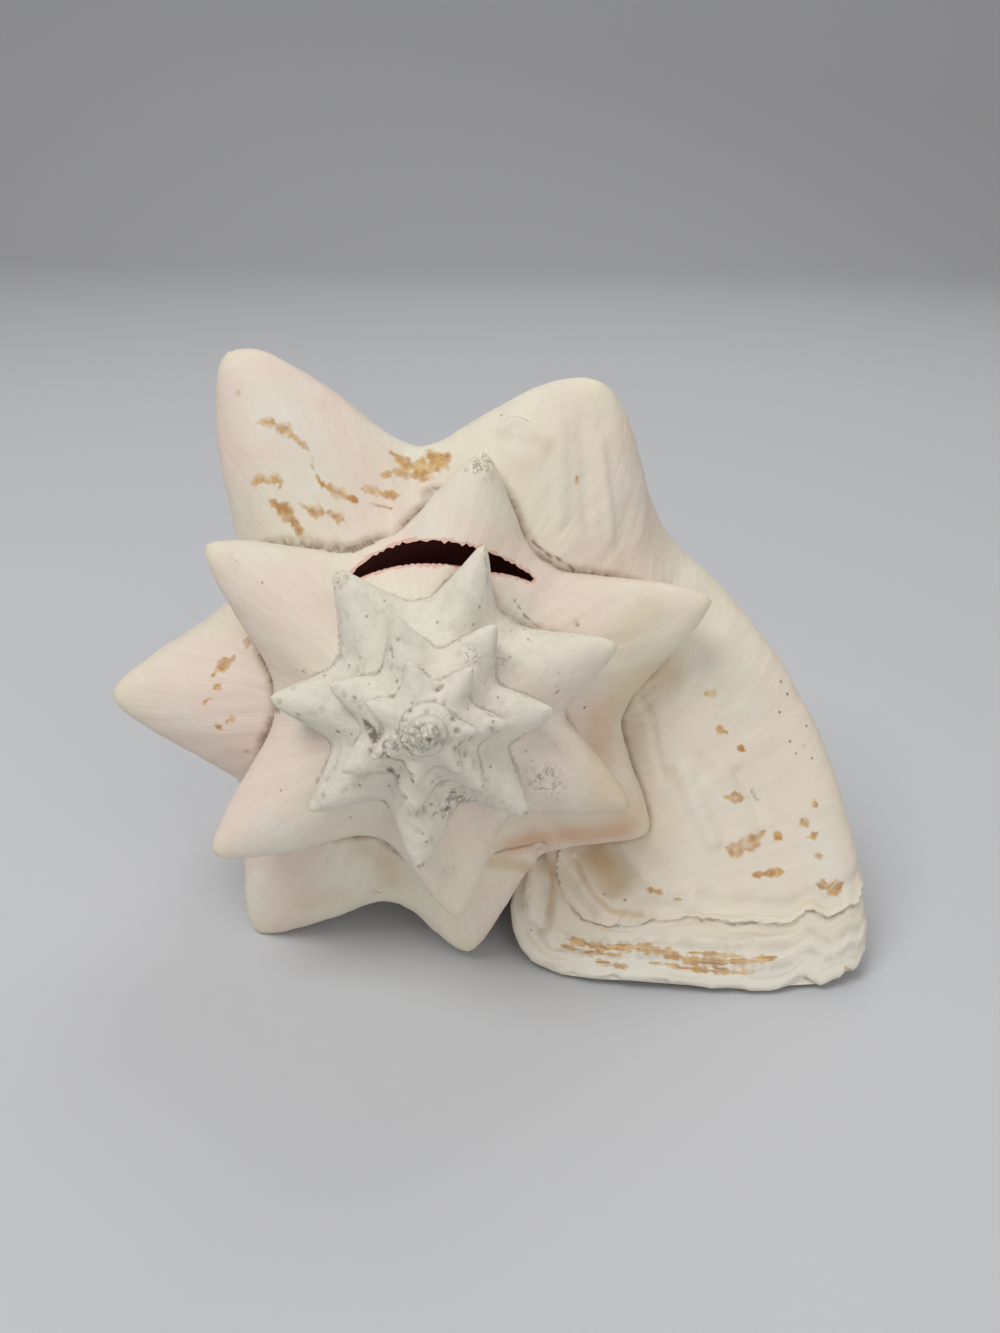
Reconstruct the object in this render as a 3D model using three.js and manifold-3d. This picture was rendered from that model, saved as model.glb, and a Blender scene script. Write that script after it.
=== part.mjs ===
import * as THREE from 'three';
import { mergeVertices } from 'three/addons/utils/BufferGeometryUtils.js';
import Module from 'manifold-3d';

// Conch shell lying on its opening, millimetres, Z up, apex of the spire towards -Y.
// The coil is drawn around its own axis first: depth runs from the apex to the siphon end,
// radius runs out from the axis, turn counts whorls and is 0 on the right side of the last whorl.

// Growth of the coil
const tipSize = 112;
const growthPerTurn = 1.606;
const lateGrowthPerTurn = 1.251;
const lateGrowthFrom = -0.85;
const lateGrowthBlend = 7;
const shoulderShare = 0.67;
const depthShare = 0.722;

// Resting attitude: the axis falls towards the siphon end, then the small turns that settle the shell
// on the lip edge, a shoulder spine and the siphon end
const axisFall = 17.5;
const settlePitch = -0.85;
const settleRoll = -1.0;

// Wall
const wall = 3.4;
const lipWall = 3.2;
const columellaSlope = 0.041;
const columellaBase = 1.4;
const columellaTop = 18;
const columellaEnd = 223;

// Hollow part of the coil starts here, everything older is filled
const hollowFrom = -1.5;
const lipFrom = -0.25;
const oldestTurn = -6.6;

// Neighbouring stretches of the coil run into each other by this share of a turn, the end a little sunk
const overlapTurn = 0.012;
const overlapSink = 0.16;
const overlapRowShare = 0.012;

// Profile rows from the suture to the siphon end, and where the nine profile points sit on it
const knots = [0, 0.09, 0.20, 0.28, 0.42, 0.60, 0.76, 0.90, 1.0];
const shoulderRow = 0.20;
const rows = [0, 0.05, 0.10, 0.14, 0.17, 0.20, 0.23, 0.27, 0.34, 0.43, 0.52, 0.62, 0.72, 0.82, 0.91, 1];

// Free edge of the flared lip, one place for each profile point
const lipEdge = [
  { depth: 68, radius: 45, angle: -76 },
  { depth: 50, radius: 67, angle: -72 },
  { depth: 40, radius: 89, angle: -51 },
  { depth: 42, radius: 121, angle: -35 },
  { depth: 78, radius: 115, angle: -29 },
  { depth: 122, radius: 101, angle: -24 },
  { depth: 165, radius: 75, angle: -22 },
  { depth: 205, radius: 40, angle: -25 },
  { depth: 225, radius: 16, angle: -40 },
];
const lipFlare = [1.5, 2.0, 2.3, 2.3, 2.3, 2.3, 2.2, 2.2, 2.0];

// Spines on the shoulder, outermost first: turn, reach of the tip from the axis, width, bluntness and,
// for a spine that leans off the common line, how far its tip lies towards the siphon end
const spines = [
  { turn: -0.170, reach: 84.5, wide: 1.15, blunt: 0.06 },
  { turn: -0.331, reach: 94, wide: 0.80, blunt: 0.04 },
  { turn: -0.498, reach: 77.5, wide: 0.95, blunt: 0.012 },
  { turn: -0.648, reach: 77.5, wide: 1.00, blunt: 0.012, lean: 8.5 },
  { turn: -0.770, reach: 64.5, wide: 1.00, blunt: 0.02 },
  { turn: -0.909, reach: 62, wide: 0.95, blunt: 0.02 },
  { turn: -1.054, reach: 70, wide: 0.85, blunt: 0.006 },
  { turn: -1.215, reach: 59, wide: 0.85, blunt: 0.012 },
  { turn: -1.398, reach: 62, wide: 0.85, blunt: 0.008 },
  { turn: -1.593, reach: 60, wide: 0.85, blunt: 0.008 },
  { turn: -1.768, reach: 48.5, wide: 0.90, blunt: 0.012 },
  { turn: -1.926, reach: 50, wide: 0.80, blunt: 0.008 },
  { turn: -2.054, reach: 44, wide: 0.80, blunt: 0.008 },
  { turn: -2.198, reach: 39, wide: 0.62, blunt: 0.006 },
  { turn: -2.337, reach: 37.5, wide: 0.75, blunt: 0.008 },
  { turn: -2.479, reach: 34.5, wide: 0.72, blunt: 0.008 },
  { turn: -2.604, reach: 33, wide: 0.72, blunt: 0.008 },
  { turn: -2.737, reach: 33.5, wide: 0.70, blunt: 0.008 },
  { turn: -2.876, reach: 30, wide: 0.75, blunt: 0.012 },
];
// Worn small spines of the upper spire follow the coil at an even step
const smallSpineFirst = -3.01;
const smallSpineStep = 0.142;
const smallSpineLast = -5.0;
const smallSpineReach = 1.0;
const smallSpineWide = 0.75;
const spineSharpness = 1.9;
const spineLean = 0.10;
const spineSutureFade = 0.10;

// Straight cut through the ramp of the second whorl, one station for each angle
const slitStations = [
  { angle: 122, inner: 33.6, outer: 34.6 },
  { angle: 112, inner: 33.2, outer: 36.4 },
  { angle: 100, inner: 32.8, outer: 37.6 },
  { angle: 88, inner: 32.6, outer: 37.9 },
  { angle: 76, inner: 32.8, outer: 37.8 },
  { angle: 64, inner: 33.8, outer: 37.6 },
  { angle: 50, inner: 36.6, outer: 37.6 },
];
const slitTop = 33;
const slitBottom = 54;

const degrees = Math.PI / 180;
const axisFallRad = axisFall * degrees;

function smoothStep(from, to, x) {
  const u = Math.min(1, Math.max(0, (x - from) / (to - from)));
  return u * u * (3 - 2 * u);
}

function growth(turn) {
  const fast = Math.log(growthPerTurn);
  const slow = Math.log(lateGrowthPerTurn);
  const late = Math.log1p(Math.exp(lateGrowthBlend * (turn - lateGrowthFrom))) / lateGrowthBlend;
  return Math.exp(fast * turn - (fast - slow) * late);
}

function shoulderRadius(turn) {
  return tipSize * shoulderShare * growth(turn);
}

function shoulderDepth(turn) {
  return tipSize * depthShare * growth(turn);
}

// Nine profile points of the plain coil, [depth, radius] each
function coilPoint(turn, index) {
  const r = shoulderRadius(turn);
  const z = shoulderDepth(turn);
  const older = shoulderRadius(turn - 1);
  const olderDepth = shoulderDepth(turn - 1);
  const late = smoothStep(-0.14, 0, turn);
  const channel = smoothStep(-1.25, -1.08, turn) * smoothStep(0.70, 0.85, -turn);
  const drop = 0.17 * late + 0.24 * channel - 0.05;
  const suture = [olderDepth + drop * older, (0.92 + 0.06 * late) * older];
  const shoulder = [z - 0.02 * r, 0.97 * r];
  switch (index) {
    case 0: return suture;
    case 1:
      return [(suture[0] + shoulder[0]) / 2 - 0.03 * late * r, (suture[1] + shoulder[1]) / 2];
    case 2: return shoulder;
    case 3: return [z + 0.22 * r, 1.00 * r];
    case 4: return [z + 0.70 * r, 0.90 * r];
    case 5: return [z + 1.35 * r, 0.66 * r];
    case 6: return [z + 1.95 * r, 0.42 * r];
    case 7: return [z + 2.50 * r, 0.23 * r];
    default: return [z + 2.85 * r, 0.13 * r];
  }
}

// Profile points at a station of the coil, [depth, radius, turn] each; past lipFrom every
// point runs on its own way to the lip edge, reached at station 0
function profilePoints(station) {
  const share = Math.max(0, (station - lipFrom) / -lipFrom);
  return lipEdge.map((edge, index) => {
    if (share === 0) return [...coilPoint(station, index), station];
    const endTurn = -edge.angle / 360;
    const turn = lipFrom + (endTurn - lipFrom) * share;
    const plain = coilPoint(turn, index);
    const end = coilPoint(endTurn, index);
    const flare = share ** lipFlare[index];
    return [plain[0] + (edge.depth - end[0]) * flare, plain[1] + (edge.radius - end[1]) * flare, turn];
  });
}

// Smooth curve through the profile points at row v
function alongProfile(points, v) {
  const last = knots.length - 1;
  const slope = (i) => [0, 1, 2].map((k) => (points[i + 1][k] - points[i][k]) / (knots[i + 1] - knots[i]));
  const tangent = (i) => {
    if (i === 0) return slope(0);
    if (i === last) return slope(last - 1);
    const before = knots[i] - knots[i - 1];
    const after = knots[i + 1] - knots[i];
    const w = after / (before + after);
    const a = slope(i - 1);
    const b = slope(i);
    return [0, 1, 2].map((k) => a[k] * w + b[k] * (1 - w));
  };
  let i = 0;
  while (i < last - 1 && v >= knots[i + 1]) i += 1;
  const span = knots[i + 1] - knots[i];
  const u = (v - knots[i]) / span;
  const d0 = tangent(i);
  const d1 = tangent(i + 1);
  const h00 = 2 * u ** 3 - 3 * u ** 2 + 1;
  const h10 = u ** 3 - 2 * u ** 2 + u;
  const h01 = -2 * u ** 3 + 3 * u ** 2;
  const h11 = u ** 3 - u ** 2;
  return [0, 1, 2].map(
    (k) => h00 * points[i][k] + h10 * span * d0[k] + h01 * points[i + 1][k] + h11 * span * d1[k],
  );
}

function allSpines() {
  const list = [...spines];
  for (let turn = smallSpineFirst; turn > smallSpineLast; turn -= smallSpineStep) {
    list.push({ turn, reach: smallSpineReach * tipSize * growth(turn), wide: smallSpineWide, blunt: 0.015 });
  }
  return list;
}
const spineSet = allSpines();

// How far the spines push the coil outwards and along its axis at one place
function spineRise(turn, side) {
  let out = 0;
  let along = 0;
  for (const spine of spineSet) {
    const r = shoulderRadius(spine.turn);
    const height = spine.reach - 0.97 * r;
    const around = (0.47 * height + 0.25 * r) * spine.wide;
    const across = side < 0 ? 0.6 * height + 0.32 * r : 0.7 * height + 0.3 * r;
    const x = (2 * Math.PI * 0.97 * r * (turn - spine.turn)) / around;
    const y = side / across;
    const away = Math.sqrt(x * x + y * y + spine.blunt) - Math.sqrt(spine.blunt);
    if (away >= 1) continue;
    const share = (1 - away) ** spineSharpness;
    out += height * share;
    along += (spine.lean ?? -spineLean * height) * share;
  }
  return [out, along];
}

function plainPlace(station, v) {
  return alongProfile(profilePoints(station), v);
}

function spinyPlace(station, v) {
  const points = profilePoints(station);
  const here = alongProfile(points, v);
  const crest = alongProfile(points, shoulderRow);
  const side = Math.sign(v - shoulderRow) * Math.hypot(here[0] - crest[0], here[1] - crest[1]);
  const [out, along] = spineRise(here[2], side);
  const rising = smoothStep(0, spineSutureFade, v);
  return [here[0] + along * rising, here[1] + out * rising, here[2]];
}

// From [depth, radius, turn] to a point in space, apex at the origin
function toSpace([depth, radius, turn]) {
  const angle = 2 * Math.PI * turn;
  return new THREE.Vector3(radius * Math.cos(angle), radius * Math.sin(angle), depth);
}

// A station list entry: where on the coil, and how far its end is sunk into the neighbour
function skinPoint(place, v) {
  if (place.sink === 0) return toSpace(spinyPlace(place.station, v));
  const row = squeezedRow(v);
  const inward = plainNormal(place.station, row).multiplyScalar(-place.sink);
  return toSpace(spinyPlace(place.station, row)).add(inward);
}

function innerPoint(place, v) {
  const row = place.sink === 0 ? v : squeezedRow(v);
  const thickness = wallAt(place.station, row) - place.sink;
  const inward = plainNormal(place.station, row).multiplyScalar(-thickness);
  return toSpace(plainPlace(place.station, row)).add(inward);
}

function squeezedRow(v) {
  return overlapRowShare + v * (1 - 2 * overlapRowShare);
}

function plainNormal(station, v) {
  const dt = 0.002;
  const dv = 0.004;
  const s0 = Math.max(station - dt, oldestTurn - 1);
  const s1 = Math.min(station + dt, 0);
  const v0 = Math.max(v - dv, 0);
  const v1 = Math.min(v + dv, 1);
  const alongTurn = toSpace(plainPlace(s1, v)).sub(toSpace(plainPlace(s0, v)));
  const alongRow = toSpace(plainPlace(station, v1)).sub(toSpace(plainPlace(station, v0)));
  const normal = alongTurn.cross(alongRow).normalize();
  return normal;
}

function wallAt(station, v) {
  const base = wall + (lipWall - wall) * smoothStep(lipFrom, 0, station);
  return base * (1 - 0.35 * smoothStep(0.8, 1, v)) * Math.min(1, 0.55 + 0.45 * growth(station) / growth(-1));
}

const wasm = await Module();
wasm.setup();

function toSolid(points, faces) {
  const flat = new THREE.BufferGeometry();
  flat.setAttribute('position', new THREE.BufferAttribute(Float32Array.from(points.flatMap((p) => [p.x, p.y, p.z])), 3));
  flat.setIndex(faces.flat());
  const merged = mergeVertices(flat, 1e-5);
  return new wasm.Manifold(new wasm.Mesh({
    numProp: 3,
    vertProperties: Float32Array.from(merged.attributes.position.array),
    triVerts: Uint32Array.from(merged.index.array),
  }));
}

// Two triangles for each cell of a grid of point numbers
function gridFaces(columns, rowCount, first, flip) {
  const faces = [];
  for (let c = 0; c < columns - 1; c += 1) {
    for (let r = 0; r < rowCount - 1; r += 1) {
      const a = first + c * rowCount + r;
      const b = a + rowCount;
      const quad = [[a, a + 1, b + 1], [a, b + 1, b]];
      for (const face of quad) faces.push(flip ? [face[0], face[2], face[1]] : face);
    }
  }
  return faces;
}

// Wall of a stretch of the coil: outer skin with spines, plain inner skin, closed along its four edges
function wallSolid(stations, rowSet) {
  const count = rowSet.length;
  const outer = stations.flatMap((place) => rowSet.map((v) => skinPoint(place, v)));
  const inner = stations.flatMap((place) => rowSet.map((v) => innerPoint(place, v)));
  const shift = outer.length;
  const faces = [...gridFaces(stations.length, count, 0, true), ...gridFaces(stations.length, count, shift, false)];
  const lastColumn = (stations.length - 1) * count;
  for (let r = 0; r < count - 1; r += 1) {
    faces.push([r, r + 1, shift + r + 1], [r, shift + r + 1, shift + r]);
    const e = lastColumn + r;
    faces.push([e, shift + e + 1, e + 1], [e, shift + e, shift + e + 1]);
  }
  for (let c = 0; c < stations.length - 1; c += 1) {
    const a = c * count;
    const b = a + count;
    faces.push([a, shift + b, b], [a, shift + a, shift + b]);
    const d = a + count - 1;
    const e = b + count - 1;
    faces.push([d, e, shift + e], [d, shift + e, shift + d]);
  }
  return toSolid([...outer, ...inner], faces);
}

// Filled stretch of the coil between its skin and the axis
function filledSolid(stations, rowSet) {
  const count = rowSet.length;
  const skin = stations.flatMap((place) => rowSet.map((v) => skinPoint(place, v)));
  const top = skin.length;
  const bottom = top + 1;
  const topPoint = new THREE.Vector3(0, 0, shoulderDepth(stations[0].station - 0.9));
  const lastStation = stations[stations.length - 1].station;
  const bottomPoint = new THREE.Vector3(0, 0, plainPlace(lastStation, rowSet[count - 1])[0] + 2);
  const faces = gridFaces(stations.length, count, 0, true);
  for (let c = 0; c < stations.length - 1; c += 1) {
    const a = c * count;
    const b = a + count;
    faces.push([top, b, a]);
    faces.push([bottom, a + count - 1, b + count - 1]);
  }
  const last = (stations.length - 1) * count;
  for (let r = 0; r < count - 1; r += 1) {
    faces.push([bottom, r, r + 1]);
    faces.push([bottom, last + r + 1, last + r]);
  }
  faces.push([bottom, top, 0]);
  faces.push([bottom, last, top]);
  return toSolid([...skin, topPoint, bottomPoint], faces);
}

// Pillar around the axis
function pillarSolid(levels, around) {
  const points = levels.flatMap(([depth, radius]) => Array.from({ length: around }, (_, i) => {
    const angle = (2 * Math.PI * i) / around;
    return new THREE.Vector3(radius * Math.cos(angle), radius * Math.sin(angle), depth);
  }));
  const low = points.length;
  points.push(new THREE.Vector3(0, 0, levels[0][0]), new THREE.Vector3(0, 0, levels[levels.length - 1][0]));
  const faces = [];
  for (let l = 0; l < levels.length - 1; l += 1) {
    for (let i = 0; i < around; i += 1) {
      const a = l * around + i;
      const b = l * around + ((i + 1) % around);
      faces.push([a, b, b + around], [a, b + around, a + around]);
    }
  }
  const lastRing = (levels.length - 1) * around;
  for (let i = 0; i < around; i += 1) {
    const j = (i + 1) % around;
    faces.push([low, j, i], [low + 1, lastRing + i, lastRing + j]);
  }
  return toSolid(points, faces);
}

function slitSolid() {
  const points = slitStations.flatMap(({ angle, inner, outer }) => {
    const c = Math.cos(angle * degrees);
    const s = -Math.sin(angle * degrees);
    return [[inner, slitTop], [outer, slitTop], [outer, slitBottom], [inner, slitBottom]].map(
      ([radius, depth]) => new THREE.Vector3(radius * c, radius * s, depth),
    );
  });
  const faces = [[0, 1, 2], [0, 2, 3]];
  for (let s = 0; s < slitStations.length - 1; s += 1) {
    for (let k = 0; k < 4; k += 1) {
      const a = s * 4 + k;
      const b = s * 4 + ((k + 1) % 4);
      faces.push([a, a + 4, b + 4], [a, b + 4, b]);
    }
  }
  const e = (slitStations.length - 1) * 4;
  faces.push([e, e + 2, e + 1], [e, e + 3, e + 2]);
  return toSolid(points, faces);
}

// Stations with a column on every spine tip between two turns, both ends sunk into the neighbours
function stationsBetween(from, to, between) {
  const start = from + overlapTurn / 2;
  const end = to - overlapTurn / 2;
  const tips = spineSet.map((s) => s.turn).filter((t) => t > start + 0.02 && t < end - 0.02).sort((a, b) => a - b);
  const marks = [start, ...tips, end];
  const list = [{ station: from - overlapTurn / 2, sink: overlapSink }];
  for (let i = 0; i < marks.length - 1; i += 1) {
    for (const share of between) list.push({ station: marks[i] + share * (marks[i + 1] - marks[i]), sink: 0 });
  }
  list.push({ station: end, sink: 0 }, { station: to + overlapTurn / 2, sink: overlapSink });
  return list;
}

const closeShares = [0, 0.14, 0.34, 0.62, 0.85];
const wideShares = [0, 0.3, 0.65];
const innerRows = [0, 0.07, 0.13, 0.17, 0.20, 0.23, 0.28, 0.38, 0.54, 0.72, 0.88, 1];
const hiddenRows = [0, 0.10, 0.15, 0.20, 0.24, 0.30, 0.42, 0.60, 0.80, 1];
const spireRows = [0, 0.10, 0.16, 0.20, 0.24, 0.30];

// Share of the lip stretch where the first hump stands, so a column meets its tip
const humpShare = (spines[0].turn - lipFrom) / (-lipEdge[2].angle / 360 - lipFrom);
const lipShares = [0.03, 0.08, 0.135, humpShare, 0.27, 0.35, 0.43, 0.51, 0.59, 0.67, 0.75, 0.82, 0.89, 0.95, 1];
const lipStations = [
  { station: lipFrom - overlapTurn / 2, sink: overlapSink },
  ...lipShares.map((share) => ({ station: lipFrom * (1 - share), sink: 0 })),
];

const pieces = [
  wallSolid(lipStations, rows),
  wallSolid(stationsBetween(-0.95, lipFrom, closeShares), rows),
  wallSolid(stationsBetween(hollowFrom, -0.95, closeShares), innerRows),
  filledSolid(stationsBetween(-2.4, hollowFrom, closeShares), hiddenRows),
  filledSolid(stationsBetween(-3.3, -2.4, closeShares), spireRows),
  filledSolid(stationsBetween(-4.2, -3.3, wideShares), spireRows),
  filledSolid(stationsBetween(-5.1, -4.2, wideShares), spireRows),
  filledSolid(stationsBetween(-5.9, -5.1, [0, 0.1, 0.2, 0.3, 0.4, 0.5, 0.6, 0.7, 0.8, 0.9]), spireRows),
  filledSolid(stationsBetween(oldestTurn, -5.9, [0, 0.12, 0.25, 0.37, 0.5, 0.62, 0.75, 0.87]), spireRows),
  pillarSolid([
    [columellaTop, columellaBase + columellaSlope * columellaTop],
    [columellaEnd - 6, columellaBase + columellaSlope * (columellaEnd - 6)],
    [columellaEnd, 0.6 * (columellaBase + columellaSlope * columellaEnd)],
  ], 14),
  pillarSolid([[1.2, 0.8], [1.9, 2.0], [3.4, 2.9], [6, 3.2]], 12),
];
const whole = wasm.Manifold.union(pieces);
const cut = wasm.Manifold.difference(whole, slitSolid());

// Surface of the solid as triangles, leaving out specks thrown off where two stretches graze each other
function toGeometry(solid) {
  const mesh = solid.getMesh();
  const owner = Array.from({ length: mesh.vertProperties.length / 3 }, (_, i) => i);
  const rootOf = (i) => {
    let r = i;
    while (owner[r] !== r) r = owner[r];
    while (owner[i] !== r) [owner[i], i] = [r, owner[i]];
    return r;
  };
  for (let i = 0; i < mesh.triVerts.length; i += 3) {
    const r = rootOf(mesh.triVerts[i]);
    owner[rootOf(mesh.triVerts[i + 1])] = r;
    owner[rootOf(mesh.triVerts[i + 2])] = r;
  }
  const sizes = new Map();
  for (const v of mesh.triVerts) sizes.set(rootOf(v), (sizes.get(rootOf(v)) || 0) + 1);
  const body = [...sizes.entries()].reduce((a, b) => (b[1] > a[1] ? b : a))[0];
  const kept = [];
  for (let i = 0; i < mesh.triVerts.length; i += 3) {
    if (rootOf(mesh.triVerts[i]) === body) kept.push(mesh.triVerts[i], mesh.triVerts[i + 1], mesh.triVerts[i + 2]);
  }
  const renumber = new Map();
  const position = [];
  const index = kept.map((v) => {
    if (!renumber.has(v)) {
      renumber.set(v, renumber.size);
      position.push(mesh.vertProperties[3 * v], mesh.vertProperties[3 * v + 1], mesh.vertProperties[3 * v + 2]);
    }
    return renumber.get(v);
  });
  const geometry = new THREE.BufferGeometry();
  geometry.setAttribute('position', new THREE.BufferAttribute(Float32Array.from(position), 3));
  geometry.setIndex(new THREE.BufferAttribute(Uint32Array.from(index), 1));
  return geometry;
}

// Lay the axis back from the apex, settle the shell, then drop it to the surface
const geometry = toGeometry(cut);
geometry.rotateX(Math.PI / -2 - axisFallRad);
geometry.rotateX(settlePitch * degrees);
geometry.rotateY(settleRoll * degrees);
geometry.computeBoundingBox();
const box = geometry.boundingBox;
geometry.translate(-(box.min.x + box.max.x) / 2, -(box.min.y + box.max.y) / 2, -box.min.z);
geometry.computeVertexNormals();

const shellMaterial = new THREE.MeshStandardMaterial({ name: 'chalky_shell', color: 0xe9dccb, roughness: 0.75, metalness: 0 });
const shell = new THREE.Mesh(geometry, shellMaterial);
shell.name = 'conch_shell';

const group = new THREE.Group();
group.name = 'conch_shell_part';
group.add(shell);

export default group;
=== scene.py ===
import math
import bmesh
import bpy
import numpy as np
from mathutils import Matrix, Vector
from mathutils.bvhtree import BVHTree
from mathutils.kdtree import KDTree


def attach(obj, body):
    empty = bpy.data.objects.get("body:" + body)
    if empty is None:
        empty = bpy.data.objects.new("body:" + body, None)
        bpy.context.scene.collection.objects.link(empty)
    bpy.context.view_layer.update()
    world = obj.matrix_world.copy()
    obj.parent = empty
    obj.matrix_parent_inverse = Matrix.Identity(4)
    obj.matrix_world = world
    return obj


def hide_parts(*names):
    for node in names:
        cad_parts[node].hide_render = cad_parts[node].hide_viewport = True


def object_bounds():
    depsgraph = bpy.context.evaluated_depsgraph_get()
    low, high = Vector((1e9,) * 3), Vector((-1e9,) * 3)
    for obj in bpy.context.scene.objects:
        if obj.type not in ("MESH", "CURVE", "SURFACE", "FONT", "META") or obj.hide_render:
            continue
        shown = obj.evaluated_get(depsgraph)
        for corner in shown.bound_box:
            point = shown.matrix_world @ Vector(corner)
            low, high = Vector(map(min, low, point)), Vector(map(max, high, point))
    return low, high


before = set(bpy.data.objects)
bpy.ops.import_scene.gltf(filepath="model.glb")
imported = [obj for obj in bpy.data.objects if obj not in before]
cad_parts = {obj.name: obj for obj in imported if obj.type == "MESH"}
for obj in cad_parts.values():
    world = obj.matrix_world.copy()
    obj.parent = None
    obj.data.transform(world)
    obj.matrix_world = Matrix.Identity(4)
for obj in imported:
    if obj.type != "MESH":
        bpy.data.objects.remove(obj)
cadLow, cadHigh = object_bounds()
print("stage 1: frame loaded")


def addObject(name, data):
    piece = bpy.data.objects.new(name, data)
    bpy.context.scene.collection.objects.link(piece)
    return piece


def vertexPlaces(mesh, kind="co"):
    values = np.zeros(len(mesh.vertices) * 3)
    mesh.vertices.foreach_get(kind, values)
    return values.reshape(-1, 3)


def edgeEnds(mesh):
    edges = np.zeros(len(mesh.edges) * 2, np.int64)
    mesh.edges.foreach_get("vertices", edges)
    return edges.reshape(-1, 2).T


def placeTree(places):
    tree = KDTree(len(places))
    for i, place in enumerate(places):
        tree.insert(place, i)
    tree.balance()
    return tree


# The coil is worked out around its own axis in millimetres: depth from the apex, radius from the axis,
# turn counting whorls, with 0 on the right side of the last whorl
coilShape = {
    "tipSize": 112.0,
    "growthPerTurn": 1.606,
    "lateGrowthPerTurn": 1.251,
    "lateGrowthFrom": -0.85,
    "lateGrowthBlend": 7.0,
    "shoulderShare": 0.67,
    "depthShare": 0.722,
    "lipFrom": -0.25,
    "shoulderRow": 0.20,
    "knots": [0, 0.09, 0.20, 0.28, 0.42, 0.60, 0.76, 0.90, 1.0],
    # the shoulder and the side below it: depth beyond the shoulder line and radius, by its radius
    "shoulder": (-0.02, 0.97),
    "side": [(0.22, 1.00), (0.70, 0.90), (1.35, 0.66), (1.95, 0.42), (2.50, 0.23), (2.85, 0.13)],
}

# Where a whorl leaves the one before: depth and radius by the older shoulder radius, lower near the lip and
# in the channel beside it
sutureShape = {
    "drop": -0.05,
    "lateDrop": 0.17,
    "lateFrom": -0.14,
    "channelDrop": 0.24,
    "channelStarts": (-1.25, -1.08),
    "channelEnds": (0.70, 0.85),
    "reach": 0.92,
    "lateReach": 0.06,
    "lateSag": 0.03,
}

# Thickness in millimetres, and how it thins on the old whorls and towards the columella
wallShape = {
    "body": 3.4,
    "lip": 3.2,
    "least": 0.55,
    "gain": 0.45,
    "fullAt": -1.0,
    "endThin": 0.35,
    "endFrom": 0.8,
}

# Free edge of the lip for each profile point, and how late that point flares
lipShape = {
    "depth": [68, 50, 40, 42, 78, 122, 165, 205, 225],
    "radius": [45, 67, 89, 121, 115, 101, 75, 40, 16],
    "angle": [-76, -72, -51, -35, -29, -24, -22, -25, -40],
    "flare": [1.5, 2.0, 2.3, 2.3, 2.3, 2.3, 2.2, 2.2, 2.0],
    "roundEdge": 1.7,
    # how far the edge is worn back, in millimetres: row and amount of the notch by the suture, then small
    # bites as row, half width in rows and depth, then the even raggedness
    "notch": [(0, 0), (0.006, 3), (0.016, 12), (0.032, 6.5), (0.05, 3.2), (0.07, 1.4), (0.10, 0)],
    "bites": [
        (0.135, 0.006, 0.6), (0.165, 0.006, 0.7), (0.196, 0.006, 1.0), (0.226, 0.006, 0.7),
        (0.257, 0.010, 2.6), (0.283, 0.006, 0.9), (0.305, 0.006, 1.3), (0.33, 0.007, 0.8),
        (0.36, 0.007, 1.1),
    ],
    "ragged": 0.45,
    "waves": [(0.5, 273, 1), (0.3, 459, 2.2), (0.2, 741, 0)],
    "raggedFrom": (0.06, 0.12),
    "pullReach": 40.0,
    "edgeClose": 0.42,
}

# Attitude of the shell on the surface, degrees and millimetres
restShape = {"axisFall": 17.5, "pitch": -0.85, "roll": -1.0, "shift": (-15.63, -110.28, 80.41)}

# turn, reach of the tip from the axis, width, bluntness, slip along the axis (None follows the common rule)
largeSpines = [
    (-0.170, 84.5, 1.15, 0.06, None),
    (-0.331, 94.0, 0.80, 0.04, None),
    (-0.498, 77.5, 0.95, 0.012, None),
    (-0.648, 77.5, 1.00, 0.012, 8.5),
    (-0.770, 64.5, 1.00, 0.02, None),
    (-0.909, 62.0, 0.95, 0.02, None),
    (-1.054, 70.0, 0.85, 0.006, None),
    (-1.215, 59.0, 0.85, 0.012, None),
    (-1.398, 62.0, 0.85, 0.008, None),
    (-1.593, 60.0, 0.85, 0.008, None),
    (-1.768, 48.5, 0.90, 0.012, None),
    (-1.926, 50.0, 0.80, 0.008, None),
    (-2.054, 44.0, 0.80, 0.008, None),
    (-2.198, 39.0, 0.62, 0.006, None),
    (-2.337, 37.5, 0.75, 0.008, None),
    (-2.479, 34.5, 0.72, 0.008, None),
    (-2.604, 33.0, 0.72, 0.008, None),
    (-2.737, 33.5, 0.70, 0.008, None),
    (-2.876, 30.0, 0.75, 0.012, None),
]
smallSpines = {"first": -3.01, "step": 0.142, "last": -5.0, "reach": 1.0, "width": 0.75, "blunt": 0.015}
# widths by the spine's height and by the shoulder radius: around the whorl, above and below the shoulder
spineForm = {
    "sharpness": 1.9,
    "lean": 0.10,
    "sutureFade": 0.10,
    "around": (0.47, 0.25),
    "above": (0.6, 0.32),
    "below": (0.7, 0.3),
    "farTurns": 0.3,
}


def smoothStep(low, high, x):
    u = np.clip((x - low) / (high - low), 0, 1)
    return u * u * (3 - 2 * u)


def growth(turn):
    s = coilShape
    fast, slow = math.log(s["growthPerTurn"]), math.log(s["lateGrowthPerTurn"])
    late = np.logaddexp(0, s["lateGrowthBlend"] * (turn - s["lateGrowthFrom"])) / s["lateGrowthBlend"]
    return np.exp(fast * turn - (fast - slow) * late)


def shoulderRadius(turn):
    return coilShape["tipSize"] * coilShape["shoulderShare"] * growth(turn)


def shoulderDepth(turn):
    return coilShape["tipSize"] * coilShape["depthShare"] * growth(turn)


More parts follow.
